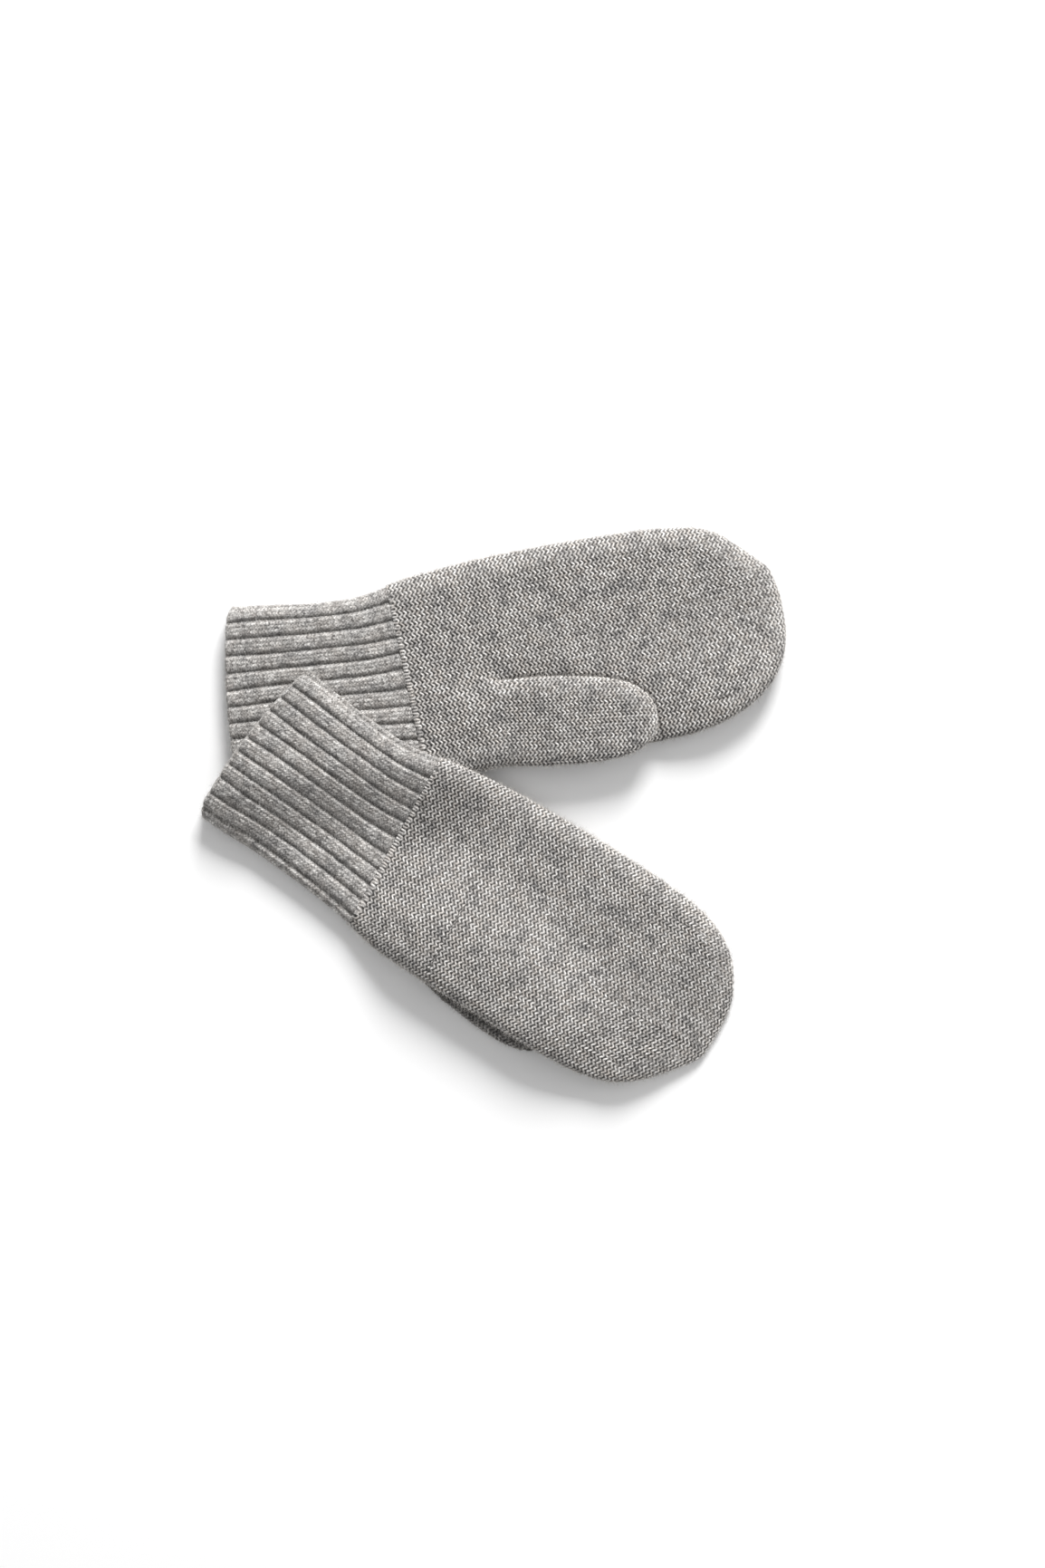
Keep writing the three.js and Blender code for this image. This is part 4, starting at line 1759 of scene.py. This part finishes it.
@dataclass(frozen=True)
class MarledWool:
    """Carded wool yarn spun from light and dark fibres: a matt, hairy, speckled grey."""

    name: str
    gauge: Gauge
    dark: str = "#B4B1AF"
    middle: str = "#E4E1DE"
    light: str = "#FFFDFB"
    shade_span: tuple[float, float] = (0.12, 0.88)
    own_shade: float = 0.5
    fleck_size: float = 0.5
    cool: str = "#5C636A"
    warm: str = "#D8CFC6"
    cloudiness: float = 1.0
    cloud_size: float = 6.0
    cloud_span: tuple[float, float] = (0.36, 0.62)
    hollow_painted_shade: float = 0.1
    painted_shade_span: tuple[float, float] = (0.08, 0.9)
    speckle: float = 0.48
    speck_size: float = 0.5
    speck_span: tuple[float, float] = (0.32, 0.68)
    speck_glint: float = 0.25
    fibre_size: float = 0.22
    fibre_relief: float = 0.12

    def build(self) -> bpy.types.Material:
        """Build the material.

        Returns:
            The material.
        """
        material = new_material(self.name)
        tree = material.node_tree
        knit = add_node(tree, "ShaderNodeUVMap", uv_map="knit").outputs["UV"]
        place = add_node(tree, "ShaderNodeTexCoord").outputs["Object"]
        # Painted shade: the colour is darkened between the loops, where less light gets than onto their
        # crowns
        colour = add_mix(tree, "MULTIPLY", 1.0, self.yarn(tree, knit), self.painted_shade_and_specks(tree, place))
        # Single fibres are finer than the render shows, so they are drawn a little coarse
        hair = add_noise(tree, place, self.fibre_size * MM, 3.0)
        relief = {"Height": hair, "Strength": 0.5, "Distance": self.fibre_relief * MM}
        bump = add_node(tree, "ShaderNodeBump", relief)
        wool = add_node(
            tree,
            "ShaderNodeBsdfPrincipled",
            {
                "Base Color": colour,
                "Normal": bump.outputs["Normal"],
                "Roughness": 0.95,
                "IOR": 1.55,
                "Specular IOR Level": 0.15,
                "Sheen Weight": 0.25,
                "Sheen Roughness": 0.6,
            },
        )
        add_node(tree, "ShaderNodeOutputMaterial", {"Surface": wool.outputs["BSDF"]})
        return material

    def yarn(self, tree: bpy.types.NodeTree, knit: bpy.types.NodeSocket) -> bpy.types.NodeSocket:
        """Colour of the yarn, before the painted shade between the stitches.

        Args:
            tree: the node tree.
            knit: knit coordinates.

        Returns:
            The colour.
        """
        # Flecks are short runs of light or dark fibre, and each stitch has its own shade
        course = self.fleck_size * self.gauge.course
        wale = self.fleck_size * self.gauge.wale
        stretch = (1 / course, 1 / wale, 1.0)
        run = add_node(tree, "ShaderNodeVectorMath", {0: knit, 1: stretch}, operation="MULTIPLY")
        fleck = add_noise(tree, run.outputs[0], 1.0, 1.0)
        own = add_node(tree, "ShaderNodeAttribute", attribute_name="stitch_tone").outputs["Fac"]
        shades = {0: self.own_shade, 2: fleck, 3: own}
        spun = add_node(tree, "ShaderNodeMix", shades, data_type="FLOAT").outputs[0]
        dark_end, light_end = self.shade_span
        stops = ((dark_end, self.dark), (0.5, self.middle), (light_end, self.light))
        tone = add_ramp(tree, spun, *stops)
        # Clouds of cooler and warmer fibre lie over several stitches
        cloud = add_noise(tree, knit, self.cloud_size, 2.0)
        cool_end, warm_end = self.cloud_span
        tint = add_ramp(tree, cloud, (cool_end, self.cool), (warm_end, self.warm))
        return add_mix(tree, "SOFT_LIGHT", self.cloudiness, tone, tint)

    def painted_shade_and_specks(self, tree: bpy.types.NodeTree, place: bpy.types.NodeSocket) -> bpy.types.NodeSocket:
        """Share of its colour that the yarn keeps: painted shade between its stitches, times its specks.

        Args:
            tree: the node tree.
            place: coordinates of the object.

        Returns:
            The share.
        """
        # Loose ends of single fibres speckle the yarn more finely than its stitches
        speckle = self.map_range(
            tree,
            add_noise(tree, place, self.speck_size * MM, 1.0),
            self.speck_span,
            (1 - self.speckle, 1.0 + self.speck_glint * self.speckle),
        )
        # Painted shade between the loops, from the light of the stitches
        painted_stitch_shade = add_node(tree, "ShaderNodeAttribute", attribute_name="stitch_light").outputs["Fac"]
        crevice_shade = self.map_range(tree, painted_stitch_shade, self.painted_shade_span, (self.hollow_painted_shade, 1.0))
        both = add_node(tree, "ShaderNodeMath", {0: crevice_shade, 1: speckle}, operation="MULTIPLY")
        return both.outputs["Value"]

    @staticmethod
    def map_range(
        tree: bpy.types.NodeTree,
        value: bpy.types.NodeSocket,
        given: tuple[float, float],
        wanted: tuple[float, float],
    ) -> bpy.types.NodeSocket:
        """Map a value from one range to another.

        Args:
            tree: the node tree.
            value: the value.
            given: range that is mapped.
            wanted: range that it is mapped to.

        Returns:
            The mapped value, which stays in its range.
        """
        links = {
            "Value": value,
            "From Min": given[0],
            "From Max": given[1],
            "To Min": wanted[0],
            "To Max": wanted[1],
        }
        return add_node(tree, "ShaderNodeMapRange", links).outputs["Result"]


@dataclass(frozen=True)
class LooseFibre:
    """Single wool fibres: pale, thin and matt, so that an outline looks soft."""

    name: str = "loose_wool_fibre"
    dark: str = "#ADA9A4"
    light: str = "#DAD6D1"
    shade_size: float = 3.0
    shade_span: tuple[float, float] = (0.35, 0.65)

    def build(self) -> bpy.types.Material:
        """Build the material.

        Returns:
            The material.
        """
        material = new_material(self.name)
        tree = material.node_tree
        place = add_node(tree, "ShaderNodeTexCoord").outputs["Object"]
        noise = add_noise(tree, place, self.shade_size * MM, 1.0)
        dark_end, light_end = self.shade_span
        tone = add_ramp(tree, noise, (dark_end, self.dark), (light_end, self.light))
        looks = {"Base Color": tone, "Roughness": 0.9, "Specular IOR Level": 0.2}
        wool = add_node(tree, "ShaderNodeBsdfPrincipled", looks)
        add_node(tree, "ShaderNodeOutputMaterial", {"Surface": wool.outputs["BSDF"]})
        return material


@dataclass(frozen=True)
class Fuzz:
    """Loose fibres that stand off the knit and soften its outline."""

    count: int = 13000
    edge_share: float = 0.6
    edge_tilt: float = 0.1
    edge_spread: float = 0.5
    lowest_tilt: float = -0.4
    root_depth: float = 0.1
    outward: tuple[float, float] = (0.15, 0.8)
    stray: float = 0.6
    curl: float = 0.5
    lie_down: float = 0.35
    shortest: float = 0.6
    longest: float = 1.9
    width: float = 0.05
    taper: float = 0.7
    joints: int = 3
    seed: int = 21

    def build(self, mitten: Mitten, material: bpy.types.Material) -> None:
        """Grow the fibres of one mitten as one piece.

        Args:
            mitten: the built mitten.
            material: the material of the fibres.
        """
        draw = np.random.default_rng(self.seed + len(mitten.place.name))
        points = np.vstack([piece.points for piece in mitten.pieces])
        normals = np.vstack([piece.normals for piece in mitten.pieces])
        picked = self.roots(draw, normals)
        vertices = self.grow(draw, points[picked], normals[picked])
        base = np.arange(self.count)[:, None, None] * 2 * (self.joints + 1)
        step = np.arange(self.joints)[None, :, None] * 2
        faces = (base + step + np.array([0, 1, 3, 2])[None, None]).reshape(-1, 4)
        mesh = bpy.data.meshes.new(f"{mitten.place.name}_fuzz")
        mesh.from_pydata(vertices.tolist(), [], faces.tolist())
        mesh.materials.append(material)
        mesh.update()
        fuzz = bpy.data.objects.new(mesh.name, mesh)
        bpy.context.scene.collection.objects.link(fuzz)
        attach(fuzz, "root")
        LOG.info("%s: %d fibres, %d triangles", fuzz.name, self.count, triangles(mesh))

    def roots(self, draw: np.random.Generator, normals: Points) -> np.ndarray:
        """Draw the points that the fibres grow from, most of them at the edges.

        Args:
            draw: the source of random numbers.
            normals: normals of the outer faces.

        Returns:
            Ids of the points.
        """
        tilt = normals[:, 2]
        shown = np.flatnonzero(tilt > self.lowest_tilt)
        edge = np.flatnonzero(np.abs(tilt - self.edge_tilt) < self.edge_spread)
        on_edge = round(self.count * self.edge_share)
        at_edge = draw.choice(edge, on_edge, replace=False)
        return np.concatenate([at_edge, draw.choice(shown, self.count - on_edge, replace=False)])

    def grow(self, draw: np.random.Generator, points: Points, normals: Points) -> Points:
        """Lay each fibre as a narrow ribbon of a few joints.

        Args:
            draw: the source of random numbers.
            points: where the fibres grow from, in metres.
            normals: normals of the cloth there.

        Returns:
            Corners of the ribbons: fibre by fibre, two for each end of a joint.
        """
        sideways = draw.normal(size=(self.count, 3))
        heading = normals * draw.uniform(*self.outward, (self.count, 1)) + self.stray * sideways
        heading /= np.linalg.norm(heading, axis=1)[:, None]
        reach = draw.uniform(self.shortest, self.longest, (self.count, 1)) * MM / self.joints
        bend = self.curl * draw.normal(size=(self.count, 3))
        line = [points - normals * self.root_depth * MM]
        for joint in range(self.joints):
            sink = self.lie_down * normals * joint / self.joints
            heading = heading + bend / self.joints - sink
            heading /= np.linalg.norm(heading, axis=1)[:, None]
            line.append(line[-1] + heading * reach)
        spread = np.cross(heading, (0.0, 0.0, 1.0))
        spread /= np.maximum(np.linalg.norm(spread, axis=1)[:, None], TINY)
        ribbon = []
        for joint, spots in enumerate(line):
            half = self.width * MM / 2 * (1 - self.taper * joint / self.joints)
            ribbon += [spots - spread * half, spots + spread * half]
        vertices = np.stack(ribbon, axis=1).reshape(-1, 3)
        vertices[:, 2] = np.maximum(vertices[:, 2], 0.0)
        return vertices


@dataclass(frozen=True)
class SoftLight:
    """A square soft light aimed at the middle of the table."""

    name: str
    place: tuple[float, float, float]
    size: float
    power: float

    def build(self) -> None:
        """Build the light."""
        data = bpy.data.lights.new(self.name, "AREA")
        data.size = self.size
        data.energy = self.power
        light = bpy.data.objects.new(self.name, data)
        light.location = self.place
        light.rotation_euler = (-Vector(self.place)).to_track_quat("-Z", "Y").to_euler()
        bpy.context.scene.collection.objects.link(light)


@dataclass(frozen=True)
class Studio:
    """White table, soft light from the far side and a camera that looks straight down."""

    frame_height: float = 0.4644
    camera_height: float = 1.2
    film: float = 36.0
    aim: tuple[float, float] = (0.00904, 0.0065)
    table_reach: float = 3.0
    table_drop: float = 0.0002
    room_light: float = 0.5
    lights: tuple[SoftLight, ...] = (
        SoftLight("key", (0.45, 1.95, 1.03), 0.9, 76.0),
        SoftLight("side", (2.0, 0.7, 0.75), 1.2, 9.0),
    )

    def build(self) -> None:
        """Build the floor, the white room, the lights and the camera."""
        self.floor()
        self.room()
        for light in self.lights:
            light.build()
        self.camera()

    def floor(self) -> None:
        """A plain white table top."""
        reach = self.table_reach
        corners = [(-reach, -reach), (reach, -reach), (reach, reach), (-reach, reach)]
        mesh = bpy.data.meshes.new("floor")
        mesh.from_pydata([(x, y, -self.table_drop) for x, y in corners], [], [(0, 1, 2, 3)])
        material = bpy.data.materials.new("white_table_lacquer")
        material.use_nodes = True
        shader = material.node_tree.nodes["Principled BSDF"]
        shader.inputs["Base Color"].default_value = (0.95, 0.95, 0.95, 1.0)
        shader.inputs["Roughness"].default_value = 0.9
        shader.inputs["Specular IOR Level"].default_value = 0.1
        mesh.materials.append(material)
        floor = bpy.data.objects.new("floor", mesh)
        bpy.context.scene.collection.objects.link(floor)

    def room(self) -> None:
        """An even white room round the table."""
        world = bpy.data.worlds.new("studio")
        world.use_nodes = True
        background = world.node_tree.nodes["Background"]
        background.inputs["Color"].default_value = (1.0, 1.0, 1.0, 1.0)
        background.inputs["Strength"].default_value = self.room_light
        bpy.context.scene.world = world

    def camera(self) -> None:
        """A long lens straight above the table."""
        data = bpy.data.cameras.new("camera")
        data.sensor_width = self.film
        data.lens = self.film * self.camera_height / self.frame_height
        camera = bpy.data.objects.new("camera", data)
        camera.location = (*self.aim, self.camera_height)
        bpy.context.scene.collection.objects.link(camera)
        bpy.context.scene.camera = camera


HAND_WOOL = MarledWool("marled_wool_purl", HAND_GAUGE)
# The rib's tones are drawn darker than the hand's: painted shade of its deep ribs and tilted cuffs
RIB_WOOL = MarledWool(
    name="marled_wool_rib",
    gauge=CUFF_GAUGE,
    dark="#959290",
    middle="#CBC8C5",
    light="#F5F3F0",
    speckle=0.58,
    cloudiness=0.45,
)


def main() -> None:
    """Build the pair in order."""
    logging.basicConfig(level=logging.INFO, format="%(message)s")
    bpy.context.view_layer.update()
    bpy.context.scene.view_settings.view_transform = "Standard"
    Studio().build()
    hand_knit = HAND_WOOL.build()
    rib_knit = RIB_WOOL.build()
    fibre = LooseFibre().build()
    for place, rib in ((RIGHT, RibKnit(crown_shift=0.53)), (LEFT, RibKnit(crown_shift=0.22))):
        mitten = Mitten(place, hand_knit, rib_knit, rib)
        mitten.build()
        Fuzz().build(mitten, fibre)


if __name__ == "__main__":
    main()
